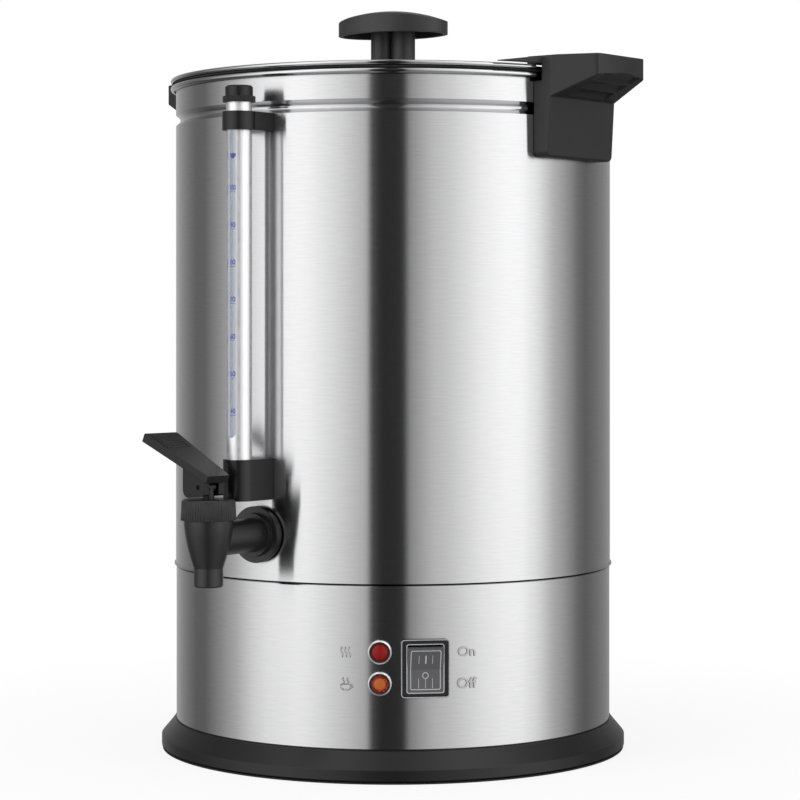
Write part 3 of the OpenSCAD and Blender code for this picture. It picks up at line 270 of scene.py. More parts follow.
def brushed_steel(name, polish_z=1, polish_r=1, foot_z=-1, shade_z=1, weld_tone=0.5):
    """Stainless sheet brushed round the urn, polished above this height and past this radius.

    The fine lines stretch every reflection into an upright band. A flared foot starts at foot_z.
    Shade is painted into narrow gaps, and a shadow on a shoulder just below shade_z. Each default
    lies clear of the urn. The weld's tone is how strongly it shows.
    """
    material, tree, place = start_material(name)
    xyz = put(tree, "SeparateXYZ", {0: place}).outputs
    front = put(tree, "Math", {0: xyz[1], 1: -1}, operation="MULTIPLY")
    turn = put(tree, "Math", {0: xyz[0], 1: front.outputs[0]}, operation="ARCTAN2").outputs[0]
    flat = put(tree, "CombineXYZ", {0: xyz[0], 1: xyz[1]}).outputs[0]
    radius = put(tree, "VectorMath", {0: flat}, operation="LENGTH").outputs["Value"]
    lines = belt_lines(tree, xyz, turn, radius)
    high = put(tree, "MapRange", {0: xyz[2], 1: polish_z, 2: polish_z + POLISH_FADE})
    wide = put(tree, "MapRange", {0: radius, 1: polish_r, 2: polish_r + POLISH_FADE})
    polished = put(tree, "Math", {0: high.outputs[0], 1: wide.outputs[0]}, operation="MULTIPLY")
    matt = put(tree, "MapRange", {0: lines, 1: 0.3, 2: 0.7, 3: 0.14, 4: 0.185})
    matt = put(tree, "Mix", {0: polished.outputs[0], 2: matt.outputs[0], 3: 0.09})
    tones = {0: lines, 6: linear("#bababb"), 7: linear("#d1d1d2")}
    colour = put(tree, "Mix", tones, data_type="RGBA").outputs[2]
    colour = with_weld(tree, colour, turn, weld_tone)
    bump = put(
        tree,
        "Bump",
        {
            "Strength": 0.1,
            "Distance": LINE_DEEP,
            "Height": lines,
            "Normal": round_normal(tree, flat, xyz[2], foot_z),
        },
    )
    around = put(tree, "Tangent", direction_type="RADIAL", axis="Z")
    shader = put(
        tree,
        "BsdfPrincipled",
        {
            "Base Color": with_shadow(tree, colour, xyz[2], shade_z),
            "Metallic": 1,
            "Roughness": matt.outputs[0],
            "Anisotropic": 0.95,
            "Anisotropic Rotation": 0.25,
            "Tangent": around.outputs[0],
            "Normal": bump.outputs[0],
        },
    )
    put(tree, "OutputMaterial", {"Surface": shader.outputs[0]})
    return material


shell_foot = min(corner[2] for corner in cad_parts["tank_shell"].bound_box)
shell_steel = brushed_steel("brushed_stainless_shell", RIM_FROM, RIM_R, foot_z=shell_foot)
dress(shell_steel, "tank_shell")
band_steel = brushed_steel("brushed_stainless_band", shade_z=shell_foot)
dress(band_steel, "lower_band")

# ---- Power inlet ----
# The mains cord's socket is moulded in black glass-filled polyester and pushed into the band's
# back. Its three pins are brass strip, tinned.
# Glass fibres make the black slightly grey and take its gloss away.
black_polyester = moulded(
    "black_glass_filled_polyester", "#202021", "#282829",
    roughness=0.42, grain_mm=0.4, relief_mm=0.02, edge_mm=0.4,
)
dress(black_polyester, "inlet_socket", "lamp_bodies")
# Tin gives the pins a warm, silvery shine.
tinned_brass = bare_metal("tinned_brass", "#b9b5a8", "#d2cfc4", roughness=0.22, patch_mm=3)
dress(tinned_brass, "inlet_pins")

# ---- Rocker switch ----
# The frame and rocker are moulded in polycarbonate, the frame a glossy black and the rocker a
# satin grey. The frame snaps into the band, and the rocker turns on two pins in it.
# A polished mould gives the frame small, sharp highlights.
glossy_polycarbonate = moulded(
    "glossy_polycarbonate", "#0c0c0d", "#101011",
    roughness=0.16, grain_mm=1.2, relief_mm=0.004, edge_mm=0.7, shine=0.45,
)
dress(glossy_polycarbonate, "switch_frame")
# A fine grain gives the rocker's grey an even, soft sheen.
satin_polycarbonate = moulded(
    "satin_polycarbonate", "#58585a", "#626264",
    roughness=0.34, grain_mm=0.5, relief_mm=0.01, edge_mm=0.35,
)
dress(satin_polycarbonate, "rocker")

# ---- Switch marks ----
# The rocker has I on its upper face and O on its lower face, with short rules beside them, all
# pad-printed in white ink.
SWITCH_AZ = 42.9
SWITCH_Z = 0.0711
PIVOT_R = 0.1466
TILT = math.radians(8)
HALF_ROCKER = 0.01425
FACE_MIDDLE = 0.0031  # the face's distance from the pivot at mid height, and at its ends
FACE_END = 0.0055
MARK_THICK = 0.0002  # real ink is far thinner, and wouldn't show
# Each bar's width, height and place on the face, sideways and up: the I, then the rules.
MARK_BARS = (
    (0.0009, 0.0055, 0, 0.0066),
    (0.00035, 0.0055, -0.0043, 0.0066),
    (0.00035, 0.0055, 0.0043, 0.0066),
    (0.00035, 0.006, -0.0044, -0.0085),
    (0.00035, 0.006, 0.0044, -0.0085),
    (0.00035, 0.0056, 0, -0.0088),
)
O_R = 0.0018
O_LINE = 0.00028
O_UP = -0.0038


def new_piece(name, *parts):
    """Joins the parts into one object of this name, with its place in its mesh."""
    bpy.ops.object.select_all(action="DESELECT")
    for part in parts:
        part.select_set(True)
    bpy.context.view_layer.objects.active = parts[0]
    if len(parts) > 1:
        bpy.ops.object.join()
    made = bpy.context.object
    bpy.ops.object.transform_apply(location=True, rotation=True, scale=True)
    made.name = made.data.name = name
    return made


def bar(width, height, thick, x=0, y=0):
    """A flat bar with soft edges, its back on z = 0."""
    bpy.ops.object.select_all(action="DESELECT")
    bpy.ops.mesh.primitive_cube_add(
        size=1, location=(x, y, thick / 2), scale=(width, height, thick)
    )
    made = bpy.context.object
    bpy.ops.object.transform_apply(location=True, rotation=True, scale=True)
    bpy.ops.object.mode_set(mode="EDIT")
    bpy.ops.mesh.select_all(action="SELECT")
    bpy.ops.mesh.bevel(offset=thick * 0.3, segments=2)
    bpy.ops.object.mode_set(mode="OBJECT")
    return made


def ring(radius, thick, y=0):
    """A flattened ring of round section, half sunk in z = 0."""
    bpy.ops.object.select_all(action="DESELECT")
    bpy.ops.mesh.primitive_torus_add(
        major_radius=radius, minor_radius=thick, major_segments=32, minor_segments=8
    )
    made = bpy.context.object
    bpy.ops.object.mode_set(mode="EDIT")
    bpy.ops.mesh.select_all(action="SELECT")
    bpy.ops.transform.resize(value=(1, 1, 0.4))
    bpy.ops.transform.translate(value=(0, y, 0))
    bpy.ops.object.mode_set(mode="OBJECT")
    return made


def on_rocker(piece):
    """Lays a flat piece on the rocker's two tilted faces, its y up."""
    turn = math.radians(SWITCH_AZ)
    for point in piece.data.vertices:
        x, up, out = point.co
        deep = FACE_MIDDLE + (FACE_END - FACE_MIDDLE) * abs(up) / HALF_ROCKER + out
        front = -PIVOT_R - deep * math.cos(TILT) - up * math.sin(TILT)
        point.co = (
            x * math.cos(turn) - front * math.sin(turn),
            x * math.sin(turn) + front * math.cos(turn),
            SWITCH_Z - deep * math.sin(TILT) + up * math.cos(TILT),
        )


marks = [bar(width, height, MARK_THICK, x, y) for width, height, x, y in MARK_BARS]
switch_marks = new_piece("switch_marks", *marks, ring(O_R, O_LINE, O_UP))
on_rocker(switch_marks)
# Pad ink is an even white without gloss.
white_ink = moulded(
    "white_pad_ink", "#b4b4b2", "#c9c9c7",
    roughness=0.5, grain_mm=0.3, relief_mm=0.004, edge_mm=0.05,
)
switch_marks.data.materials.append(white_ink)
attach(switch_marks, "rocker")

# ---- Switch beads ----
# Rounded beads, moulded with their pieces, run round the rocker's face, the frame's window and
# the frame's outer edge. Their light grey is a painted highlight along these edges.
# Each bead's half width, half height, corner radius and thickness.
ROCKER_BEAD = (0.0094, 0.0124, 0.001, 0.0006)
WINDOW_BEAD = (0.0117, 0.0152, 0.0012, 0.0007)
OUTER_BEAD = (0.015, 0.0179, 0.0018, 0.0005)
FRAME_FACE_R = 0.14995


def drawn_line(points, thick):
    """A round line through flat points, half sunk in z = 0."""
    bpy.ops.object.select_all(action="DESELECT")
    line = bpy.data.curves.new("line", "CURVE")
    line.dimensions = "3D"
    line.bevel_depth = thick / 2
    line.bevel_resolution = 3
    line.use_fill_caps = True
    path = line.splines.new("POLY")
    path.points.add(len(points) - 1)
    for spot, (x, y) in zip(path.points, points):
        spot.co = (x, y, 0, 1)
    made = bpy.data.objects.new("line", line)
    bpy.context.scene.collection.objects.link(made)
    made.select_set(True)
    bpy.context.view_layer.objects.active = made
    bpy.ops.object.convert(target="MESH")
    return bpy.context.object


def bead(half_x, half_y, corner, thick):
    """A rounded line round a rectangle with soft corners, half sunk in z = 0."""
    spots = []
    for start, along, up in ((0, 1, 1), (90, -1, 1), (180, -1, -1), (270, 1, -1)):
        for step in range(5):
            turn = math.radians(start + 22.5 * step)
            x = along * (half_x - corner) + corner * math.cos(turn)
            spots.append((x, up * (half_y - corner) + corner * math.sin(turn)))
        if along != up:  # the upright sides have a point at mid height, where the rocker bends
            spots.append((along * half_x, 0))
    return drawn_line(spots + spots[:1], thick)


def face_out(piece, azimuth, radius, height):
    """Stands a flat piece upright at this place, facing out."""
    turn = math.radians(azimuth)
    piece.rotation_euler = (math.radians(90), 0, turn)
    piece.location = (radius * math.sin(turn), -radius * math.cos(turn), height)
    bpy.ops.object.transform_apply(location=True, rotation=True, scale=True)
    return piece


rocker_highlight_bead = new_piece("rocker_highlight_bead", bead(*ROCKER_BEAD))
on_rocker(rocker_highlight_bead)
# The beads' tops are polished, and their light grey is a painted highlight.
highlight_grey_polycarbonate = moulded(
    "highlight_grey_polycarbonate", "#bcbcbe", "#c8c8ca",
    roughness=0.2, grain_mm=0.5, relief_mm=0.004, edge_mm=0.1,
)
rocker_highlight_bead.data.materials.append(highlight_grey_polycarbonate)
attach(rocker_highlight_bead, "rocker")
# The frame's beads carry the same painted highlight.
lips = [
    face_out(bead(*sizes), SWITCH_AZ, FRAME_FACE_R, SWITCH_Z)
    for sizes in (WINDOW_BEAD, OUTER_BEAD)
]
frame_highlight_lips = new_piece("frame_highlight_lips", *lips)
frame_highlight_lips.data.materials.append(highlight_grey_polycarbonate)
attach(frame_highlight_lips, "urn")

# ---- Switch words ----
# On and Off stand out of the band beside the switch. They are stamped from inside, and their
# tops are lightly etched.
BAND_R = 0.1476
WORDS_R = BAND_R - 0.00005
UPPER_Z = 0.0811
LOWER_Z = 0.0612
WORD_THICK = 0.0007
# Each word with its width, its height, its azimuth and its place up the band.
SWITCH_WORDS = (
    ("On", 0.0118, 0.0063, 53.4, UPPER_Z),
    ("Off", 0.0133, 0.0069, 53.5, LOWER_Z),
)


def lettering(words, width, height, thick):
    """Words as a mesh on z = 0, centred, this wide, high and thick."""
    bpy.ops.object.select_all(action="DESELECT")
    bpy.ops.object.text_add()
    text = bpy.context.object
    text.data.body = words
    text.data.extrude = 0.02
    text.data.bevel_depth = 0.02
    text.data.resolution_u = 4
    bpy.ops.object.convert(target="MESH")
    made = bpy.context.object
    low = [min(v.co[i] for v in made.data.vertices) for i in range(3)]
    top = [max(v.co[i] for v in made.data.vertices) for i in range(3)]
    for point in made.data.vertices:
        share = [(point.co[i] - low[i]) / (top[i] - low[i]) for i in range(3)]
        point.co = ((share[0] - 0.5) * width, (share[1] - 0.5) * height, share[2] * thick)
    return made


def wrap(piece, axis_y, radius, azimuth, height):
    """Lays a flat piece on an upright cylinder: its x goes round, its y up and its z out."""
    for point in piece.data.vertices:
        turn = math.radians(azimuth) + point.co.x / radius
        out = radius + point.co.z
        point.co = (
            out * math.sin(turn),
            axis_y - out * math.cos(turn),
            height + point.co.y,
        )
    return piece


words = [
    wrap(lettering(word, width, height, WORD_THICK), 0, WORDS_R, azimuth, word_z)
    for word, width, height, azimuth, word_z in SWITCH_WORDS
]
switch_words = new_piece("switch_words", *words)
# Etching takes the brushed lines away and leaves an even, soft shine.
etched_steel = bare_metal(
    "etched_stainless", "#a9a9aa", "#c2c2c3", roughness=0.28, patch_mm=1.5, relief_mm=0.01
)
switch_words.data.materials.append(etched_steel)
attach(switch_words, "urn")

# ---- Signal lamps ----
# Two neon lamps behind acrylic lenses, red for heating and amber for warm, moulded with small
# prisms inside and held by chrome-plated rings.
LAMP_AZ = 31.9
PRISM_MM = 0.9
PRISM_DEEP = 0.0002
MIDDLE_FADE = 0.08
# Chrome over moulded plastic is nearly white, and its highlights are soft.
chrome = bare_metal(
    "bright_chrome_plate", "#f2f3f4", "#fafafb", roughness=0.4, patch_mm=6, relief_mm=0.002
)
dress(chrome, "lamp_rings")


def signal_lens(name, node, rim, middle, painted_glints, disc, painted_glow):
    """Coloured acrylic: a smooth middle of this share, and painted glints of its prisms round it.
    Its faint glow is painted light.
    """
    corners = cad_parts[node].bound_box
    height = sum(corner[2] for corner in corners) / 8
    half = max(corner[2] for corner in corners) - height
    material, tree, place = start_material(name)
    facing = put(
        tree,
        "VectorRotate",
        {"Vector": place, "Angle": math.radians(-LAMP_AZ)},
        rotation_type="Z_AXIS",
    )
    xyz = put(tree, "SeparateXYZ", {0: facing.outputs[0]}).outputs
    flat = put(tree, "CombineXYZ", {0: xyz[0], 1: xyz[2]})
    centred = put(
        tree, "VectorMath", {0: flat.outputs[0], 1: (0, height, 0)}, operation="SUBTRACT"
    )
    away = put(tree, "VectorMath", {0: centred.outputs[0]}, operation="LENGTH").outputs["Value"]
    ringed = put(
        tree,
        "MapRange",
        {0: away, 1: half * (disc - MIDDLE_FADE), 2: half * (disc + MIDDLE_FADE)},
    )
    prisms = put(tree, "TexVoronoi", {"Vector": centred.outputs[0], "Scale": 1000 / PRISM_MM})
    # The prisms' glints are painted into the lens colour by this mask.
    painted_glint_mask = put(tree, "MapRange", {0: prisms.outputs["Distance"], 1: 0.22, 2: 0.4, 3: 1, 4: 0})
    speckled = put(
        tree, "Mix", {0: painted_glint_mask.outputs[0], 6: linear(rim), 7: linear(painted_glints)}, data_type="RGBA"
    )
    colour = put(
        tree,
        "Mix",
        {0: ringed.outputs[0], 6: linear(middle), 7: speckled.outputs[2]},
        data_type="RGBA",
    )
    bump = put(
        tree,
        "Bump",
        {"Strength": 0.2, "Distance": PRISM_DEEP, "Height": prisms.outputs["Distance"]},
    )
    shader = put(
        tree,
        "BsdfPrincipled",
        {
            "Base Color": colour.outputs[2],
            "Roughness": 0.3,
            "IOR": 1.49,
            "Specular IOR Level": 0.25,
            # the lens's glow is painted light
            "Emission Color": colour.outputs[2],
            "Emission Strength": painted_glow,
            "Normal": bump.outputs[0],
        },
    )
    put(tree, "OutputMaterial", {"Surface": shader.outputs[0]})
    return material


# Red acrylic is an even deep red with a faint painted glow. Its prisms' glints are painted round
# it as dark specks.
red_acrylic = signal_lens(
    "red_acrylic", "heating_lens", "#7c100e", "#841312", "#3a0706", disc=0.72, painted_glow=0.12
)
dress(red_acrylic, "heating_lens")
# Amber acrylic is orange in the middle, and darker and redder round it. It has a faint painted
# glow, and its prisms' glints are painted round it as orange specks.
amber_acrylic = signal_lens(
    "amber_acrylic", "warm_lens", "#74120c", "#b05c2a", "#c8642a", disc=0.62, painted_glow=0.15
)
dress(amber_acrylic, "warm_lens")

# ---- Lamp shade rings ----
# A thin ring of black rubber between each lens and its chrome-plated ring paints the shade in the
# groove there. It is pressed in with the lens, so only its rounded front shows.
SHADE_RING_R = 0.00605
SHADE_RING_THICK = 0.0005
LAMP_FACE_R = 0.14965
LAMP_HEIGHTS = (0.0813, 0.0615)
shade_rings = [face_out(ring(SHADE_RING_R, SHADE_RING_THICK), LAMP_AZ, LAMP_FACE_R, z) for z in LAMP_HEIGHTS]
lamp_shade_rings = new_piece("lamp_shade_rings", *shade_rings)
lamp_shade_rings.data.materials.append(black_rubber)
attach(lamp_shade_rings, "urn")

# ---- Lamp signs ----
# Beside the lamps two plain signs stand out of the band: rising heat, and a cup kept warm. They
# are stamped and etched as the words are.
SIGN_LINE = 0.0011
SIGN_AZ = 23.5
HALF_SIGN = 0.0032
WAVE_DEEP = 0.0006
WAVES_APART = 0.0024
STEAM_APART = 0.0014


def rising_wave(x, low, high):
    """One wavy line of rising heat."""
    steps = 16
    return [
        (x + WAVE_DEEP * math.sin(2 * math.pi * i / steps), low + (high - low) * i / steps)
        for i in range(steps + 1)
    ]


heat = [
    drawn_line(rising_wave(x * WAVES_APART, -HALF_SIGN, HALF_SIGN), SIGN_LINE) for x in (-1, 0, 1)
]
bowl = [(-0.0032, -0.0002), (-0.0028, -0.0028), (-0.0018, -0.0036), (0.0018, -0.0036)]
bowl += [(0.0028, -0.0028), (0.0032, -0.0002), (-0.0032, -0.0002)]
grip = [(0.0032, -0.0006), (0.0044, -0.0008), (0.0046, -0.0018), (0.0031, -0.0026)]
cup = [drawn_line(bowl, SIGN_LINE), drawn_line(grip, SIGN_LINE)]
cup += [drawn_line(rising_wave(x * STEAM_APART, 0.0008, 0.0036), SIGN_LINE) for x in (-1, 1)]
signs = [wrap(line, 0, BAND_R, SIGN_AZ, UPPER_Z) for line in heat]
signs += [wrap(line, 0, BAND_R, SIGN_AZ, LOWER_Z) for line in cup]
lamp_signs = new_piece("lamp_signs", *signs)
lamp_signs.data.materials.append(etched_steel)
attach(lamp_signs, "urn")

# ---- Tank floor and heater ----
# The floor is drawn stainless sheet. Under it a cast aluminium plate holds the sheathed
# heating tube, and two bakelite thermostats press against the plate.
# The press leaves the drawn sheet a soft, cloudy shine.
pressed_steel = bare_metal("pressed_stainless", "#b3b2af", "#cbcac7", roughness=0.24, patch_mm=14)
dress(pressed_steel, "tank_floor")
# Cast aluminium is dull and faintly pitted.
cast_aluminium = bare_metal(
    "cast_aluminium", "#8f9091", "#a9aaab", roughness=0.48, patch_mm=2, relief_mm=0.12
)
dress(cast_aluminium, "heater_plate")
# Heat has turned the sheath's nickel alloy a dull brownish grey.
nickel_alloy_sheath = bare_metal(
    "nickel_alloy_sheath", "#4e4a46", "#6d6862", roughness=0.42, patch_mm=6, relief_mm=0.02
)
dress(nickel_alloy_sheath, "heating_tube")
# Bakelite is a glossy, very dark brown.
brown_bakelite = moulded(
    "brown_bakelite", "#1f1713", "#2b201a",
    roughness=0.3, grain_mm=0.6, relief_mm=0.02, edge_mm=0.4,
)
dress(brown_bakelite, "thermostats")

# ---- Tap ----
# Body and collar are moulded in black nylon, lever and stem in darker acetal. A silicone cup
# closes the seat under a stainless spring, and the lever turns on a blackened pin.
# Nylon is a soft black with broad highlights.
black_nylon = moulded(
    "black_nylon", "#1b1b1c", "#232324",
    roughness=0.34, grain_mm=0.6, relief_mm=0.012, edge_mm=0.5, shine=0.5,
)
dress(black_nylon, "tap_body", "tap_collar")
# Acetal is a deeper black, and its highlights are fainter.
black_acetal = moulded(
    "black_acetal", "#0f0f10", "#151516",
    roughness=0.34, grain_mm=0.6, relief_mm=0.012, edge_mm=0.5, shine=0.4,
)
dress(black_acetal, "tap_lever", "tap_stem")
# Drawn wire is bright and nearly even.
stainless_wire = bare_metal("stainless_wire", "#a9a8a5", "#c9c8c5", roughness=0.2, patch_mm=2)
dress(stainless_wire, "tap_spring")
# Black oxide leaves the pin nearly black, with a dull metal shine.
black_oxide_steel = bare_metal(
    "black_oxide_steel", "#161617", "#222223", roughness=0.4, patch_mm=2
)
dress(black_oxide_steel, "lever_pin")
# Food-grade silicone is milky white and soft to look at.
milky_silicone = moulded(
    "milky_silicone", "#c9c8c2", "#dddcd6",
    roughness=0.45, grain_mm=1.5, relief_mm=0.02, edge_mm=0.3,
)
dress(milky_silicone, "tap_seal", "gauge_seal")
# The washers' harder silicone is a dull mid grey.
grey_silicone = moulded(
    "grey_silicone", "#5d5d5b", "#6c6c69",
    roughness=0.55, grain_mm=1.2, relief_mm=0.02, edge_mm=0.3,
)
dress(grey_silicone, "tap_washers")

# ---- Sight gauge ----
# A glass tube stands in a moulded block behind a slotted tube of satin stainless steel, with a
# screw cap on top and a clip to the shell.
# Satin phenolic is a dense black with soft light along its edges.
satin_phenolic = moulded(
    "satin_black_phenolic", "#101011", "#151516",
    roughness=0.31, grain_mm=0.5, relief_mm=0.015, edge_mm=0.6, shine=0.4,
)
dress(satin_phenolic, "gauge_block", "gauge_cap", "gauge_clip")
# The satin finish spreads the light into one broad, bright band.
satin_stainless_tube = bare_metal(
    "satin_stainless_tube", "#f2f2f4", "#fafafb", roughness=0.44, patch_mm=3
)
dress(satin_stainless_tube, "gauge_shield")

# Clear glass shows the print's blue and the enamel behind it, with faint smears in its gloss.
SMEAR_MM = 16.667
glass, tree, place = start_material("clear_tube_glass")
smears = put(tree, "TexNoise", {"Vector": place, "Scale": 1000 / SMEAR_MM, "Detail": 3})
matt = put(tree, "MapRange", {0: smears.outputs[0], 1: 0.3, 2: 0.7, 3: 0.01, 4: 0.06})
shader = put(
    tree,
    "BsdfPrincipled",
    {
        "Base Color": linear("#f4f8f8"),
        "Roughness": matt.outputs[0],
        "IOR": 1.5,
        "Transmission Weight": 1,
    },
)
put(tree, "OutputMaterial", {"Surface": shader.outputs[0]})
dress(glass, "gauge_glass")

# ---- Gauge print ----
# A cup, the numbers from 100 down to 40 with their rules, and a long line beside them, printed
# on the glass in blue ceramic ink and fired.
GAUGE_Y = -0.1686
GLASS_R = 0.006
INK = 0.00005
PRINT_AZ = -5
LINE_AZ = -33
LINE_WIDE = 0.0006
LINE_HIGH = 0.208
LINE_Z = 0.316
CUP_Z = 0.3925
TOP_MARK_Z = 0.3727
MARK_STEP = 0.02343
DIGIT_HIGH = 0.0034
HUNDRED_WIDE = 0.0049
NUMBER_WIDE = 0.0043
RULE_LONG = 0.0045
RULE_THIN = 0.0003
RULE_DROP = -0.0027


def flat_shape(points, thick):
    """A closed flat outline, filled and this thick, on z = 0."""
    bpy.ops.object.select_all(action="DESELECT")
    outline = bpy.data.curves.new("shape", "CURVE")
    outline.dimensions = "2D"
    outline.fill_mode = "BOTH"
    outline.extrude = thick / 2
    edge = outline.splines.new("POLY")
    edge.points.add(len(points) - 1)
    for spot, (x, y) in zip(edge.points, points):
        spot.co = (x, y, 0, 1)
    edge.use_cyclic_u = True
    made = bpy.data.objects.new("shape", outline)
    bpy.context.scene.collection.objects.link(made)
    made.select_set(True)
    bpy.context.view_layer.objects.active = made
    bpy.ops.object.convert(target="MESH")
    return bpy.context.object


prints = []
for step, cups in enumerate(range(100, 30, -10)):
    mark_z = TOP_MARK_Z - step * MARK_STEP
    wide = HUNDRED_WIDE if cups == 100 else NUMBER_WIDE
    number = lettering(str(cups), wide, DIGIT_HIGH, INK)
    prints.append(wrap(number, GAUGE_Y, GLASS_R, PRINT_AZ, mark_z))
    rule = bar(RULE_LONG, RULE_THIN, INK, 0, RULE_DROP)
    prints.append(wrap(rule, GAUGE_Y, GLASS_R, PRINT_AZ, mark_z))
long_line = bar(LINE_WIDE, LINE_HIGH, INK)
prints.append(wrap(long_line, GAUGE_Y, GLASS_R, LINE_AZ, LINE_Z))
cup_shape = [(-0.0024, 0.0018), (-0.0019, -0.0003), (-0.0009, -0.0016), (0.0009, -0.0016)]
cup_shape += [(0.0019, -0.0003), (0.003, 0.0007), (0.0031, 0.0016), (0.0024, 0.0018)]
cup_mark = flat_shape(cup_shape, INK)
prints.append(wrap(cup_mark, GAUGE_Y, GLASS_R + INK / 2, PRINT_AZ, CUP_Z))
gauge_print = new_piece("gauge_print", *prints)
# Fired ink is an even blue with a slight gloss.
blue_ink = moulded(
    "blue_ceramic_ink", "#2349ae", "#3560c0",
    roughness=0.4, grain_mm=0.3, relief_mm=0.004, edge_mm=0.02,
)
gauge_print.data.materials.append(blue_ink)
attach(gauge_print, "urn")

# ---- Gauge enamel ----
# The glass carries a fused coat of white enamel, which makes the coffee's level easy to read. It
# leaves only the front of the tube clear.
BACK_LOW = 0.1895
BACK_HIGH = 0.4235
BACK_R = 0.0063
COAT_THICK = 0.0002
OPEN_FRONT = math.radians(44)
TONE_MM = 11.11
bpy.ops.object.select_all(action="DESELECT")
bpy.ops.mesh.primitive_cylinder_add(
    vertices=64,
    radius=BACK_R,
    depth=BACK_HIGH - BACK_LOW,
    end_fill_type="NOTHING",
    location=(0, GAUGE_Y, (BACK_LOW + BACK_HIGH) / 2),
)
gauge_back = new_piece("gauge_back", bpy.context.object)
bpy.ops.object.mode_set(mode="EDIT")
bpy.ops.mesh.select_all(action="DESELECT")
bpy.ops.object.mode_set(mode="OBJECT")
for face in gauge_back.data.polygons:
    turn = math.atan2(face.center.x, GAUGE_Y - face.center.y)
    face.select = abs(turn) < OPEN_FRONT
bpy.ops.object.mode_set(mode="EDIT")
bpy.ops.mesh.delete(type="FACE")
bpy.ops.object.mode_set(mode="OBJECT")
coat = gauge_back.modifiers.new("coat", "SOLIDIFY")
coat.thickness = COAT_THICK
bpy.ops.object.modifier_apply(modifier="coat")
bpy.ops.object.shade_smooth_by_angle(angle=math.radians(40))
# Enamel is a clean, glossy white, very slightly uneven.
enamel, tree, place = start_material("white_enamel")
tone = put(tree, "TexNoise", {"Vector": place, "Scale": 1000 / TONE_MM, "Detail": 3})
paint = put(
    tree, "Mix", {0: tone.outputs[0], 6: linear("#dfe0e6"), 7: linear("#ebecf1")}, data_type="RGBA"
)
shader = put(
    tree,
    "BsdfPrincipled",
    {
        "Base Color": paint.outputs[2],
        "Roughness": 0.25,
        "Emission Color": paint.outputs[2],
        "Emission Strength": 0.4,  # stands in for the light that the glass carries to it
    },
)
put(tree, "OutputMaterial", {"Surface": shader.outputs[0]})
gauge_back.data.materials.append(enamel)
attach(gauge_back, "urn")

# ---- Handles ----
# Each handle is moulded in black phenolic with a fine grain, and two screws hold it from
# inside the tank. Its hook, slot and wings guide the lid's rolled edge.
# Grained phenolic is a charcoal black, and its round edges catch a soft line of light.
grained_phenolic = moulded(
    "grained_black_phenolic", "#222223", "#2a2a2b",
    roughness=0.42, grain_mm=0.7, relief_mm=0.05, edge_mm=1.3, shine=0.4,
)
dress(grained_phenolic, "handle_right", "handle_left")

# ---- Lid and knob ----
# The lid is pressed from stainless sheet and spun with a brush, and its rolled edge is
# polished. The knob is moulded in phenolic, blasted to a soft dark grey, and screwed on.
LID_EDGE_R = 0.1494
lid_steel = brushed_steel("brushed_stainless_lid", RIM_FROM, LID_EDGE_R, weld_tone=0)
dress(lid_steel, "lid")
# Blasting takes the gloss away and leaves an even dark grey.
blasted_phenolic = moulded(
    "blasted_black_phenolic", "#29292a", "#343435",
    roughness=0.44, grain_mm=0.6, relief_mm=0.03, edge_mm=0.9,
)
dress(blasted_phenolic, "knob")

# ---- Brewing set ----
# Pump foot, riser tube, basket and spreader are stainless sheet, pressed and polished. They
# stand loose in the tank and lift out as one.
# Polished stainless is bright and nearly a mirror.
bright_steel = bare_metal(
    "bright_stainless", "#c4c3c0", "#dddcd9", roughness=0.14, patch_mm=5, relief_mm=0.004
)
dress(bright_steel, "pump_base", "pump_tube")
dress(pressed_steel, "coffee_basket", "basket_cover")

# ---- Studio ----
# A pale floor that fades into a white background, soft lamps, and for reflections a ring of
# large soft boxes with dark gaps between them, as steel is photographed.
CAMERA_AZ = math.radians(35.1)
FLOOR_WIDE = 12
FLOOR_DROP = 0.0001
FADE_FROM = 0.18
FADE_TO = 0.5
LAMPS_AIM = Vector((0, 0, 0.25))
scene = bpy.context.scene
bpy.ops.object.select_all(action="DESELECT")
bpy.ops.mesh.primitive_plane_add(size=FLOOR_WIDE, location=(0, 0, -FLOOR_DROP))
floor = bpy.context.object
floor.name = "floor"
floor.visible_glossy = False  # the steel reflects the table's dark edge instead
floor_paint, tree, place = start_material("pale_floor")
far = put(tree, "VectorMath", {0: place}, operation="LENGTH")
fade = put(tree, "MapRange", {0: far.outputs["Value"], 1: FADE_FROM, 2: FADE_TO, 3: 0.86, 4: 1})
path = put(tree, "LightPath")
seen = put(
    tree, "Math", {0: path.outputs["Is Camera Ray"], 1: fade.outputs[0]}, operation="MULTIPLY"
)
paint = put(tree, "BsdfDiffuse", {"Color": linear("#f4f4f4")})
white = put(tree, "Emission", {"Color": linear("#ffffff"), "Strength": 1})
mixed = put(tree, "MixShader", {0: seen.outputs[0], 1: paint.outputs[0], 2: white.outputs[0]})
put(tree, "OutputMaterial", {"Surface": mixed.outputs[0]})
floor.data.materials.append(floor_paint)

for name, azimuth, away, height, size, power in (
    ("key_lamp", -20, 2.0, 1.8, 1.4, 20),
    ("fill_lamp", 100, 2.2, 1.2, 1.4, 10),
):
    lamp_data = bpy.data.lights.new(name, "AREA")
    lamp_data.size = size
    lamp_data.energy = power
    lamp = bpy.data.objects.new(name, lamp_data)
    scene.collection.objects.link(lamp)
    turn = math.radians(azimuth)
    lamp.location = (away * math.sin(turn), -away * math.cos(turn), height)
    lamp.rotation_euler = (LAMPS_AIM - lamp.location).to_track_quat("-Z", "Y").to_euler()
    lamp.visible_glossy = False
    lamp.visible_camera = False

BOX_LIGHT = 1.72
TABLE_DARK = 0.32
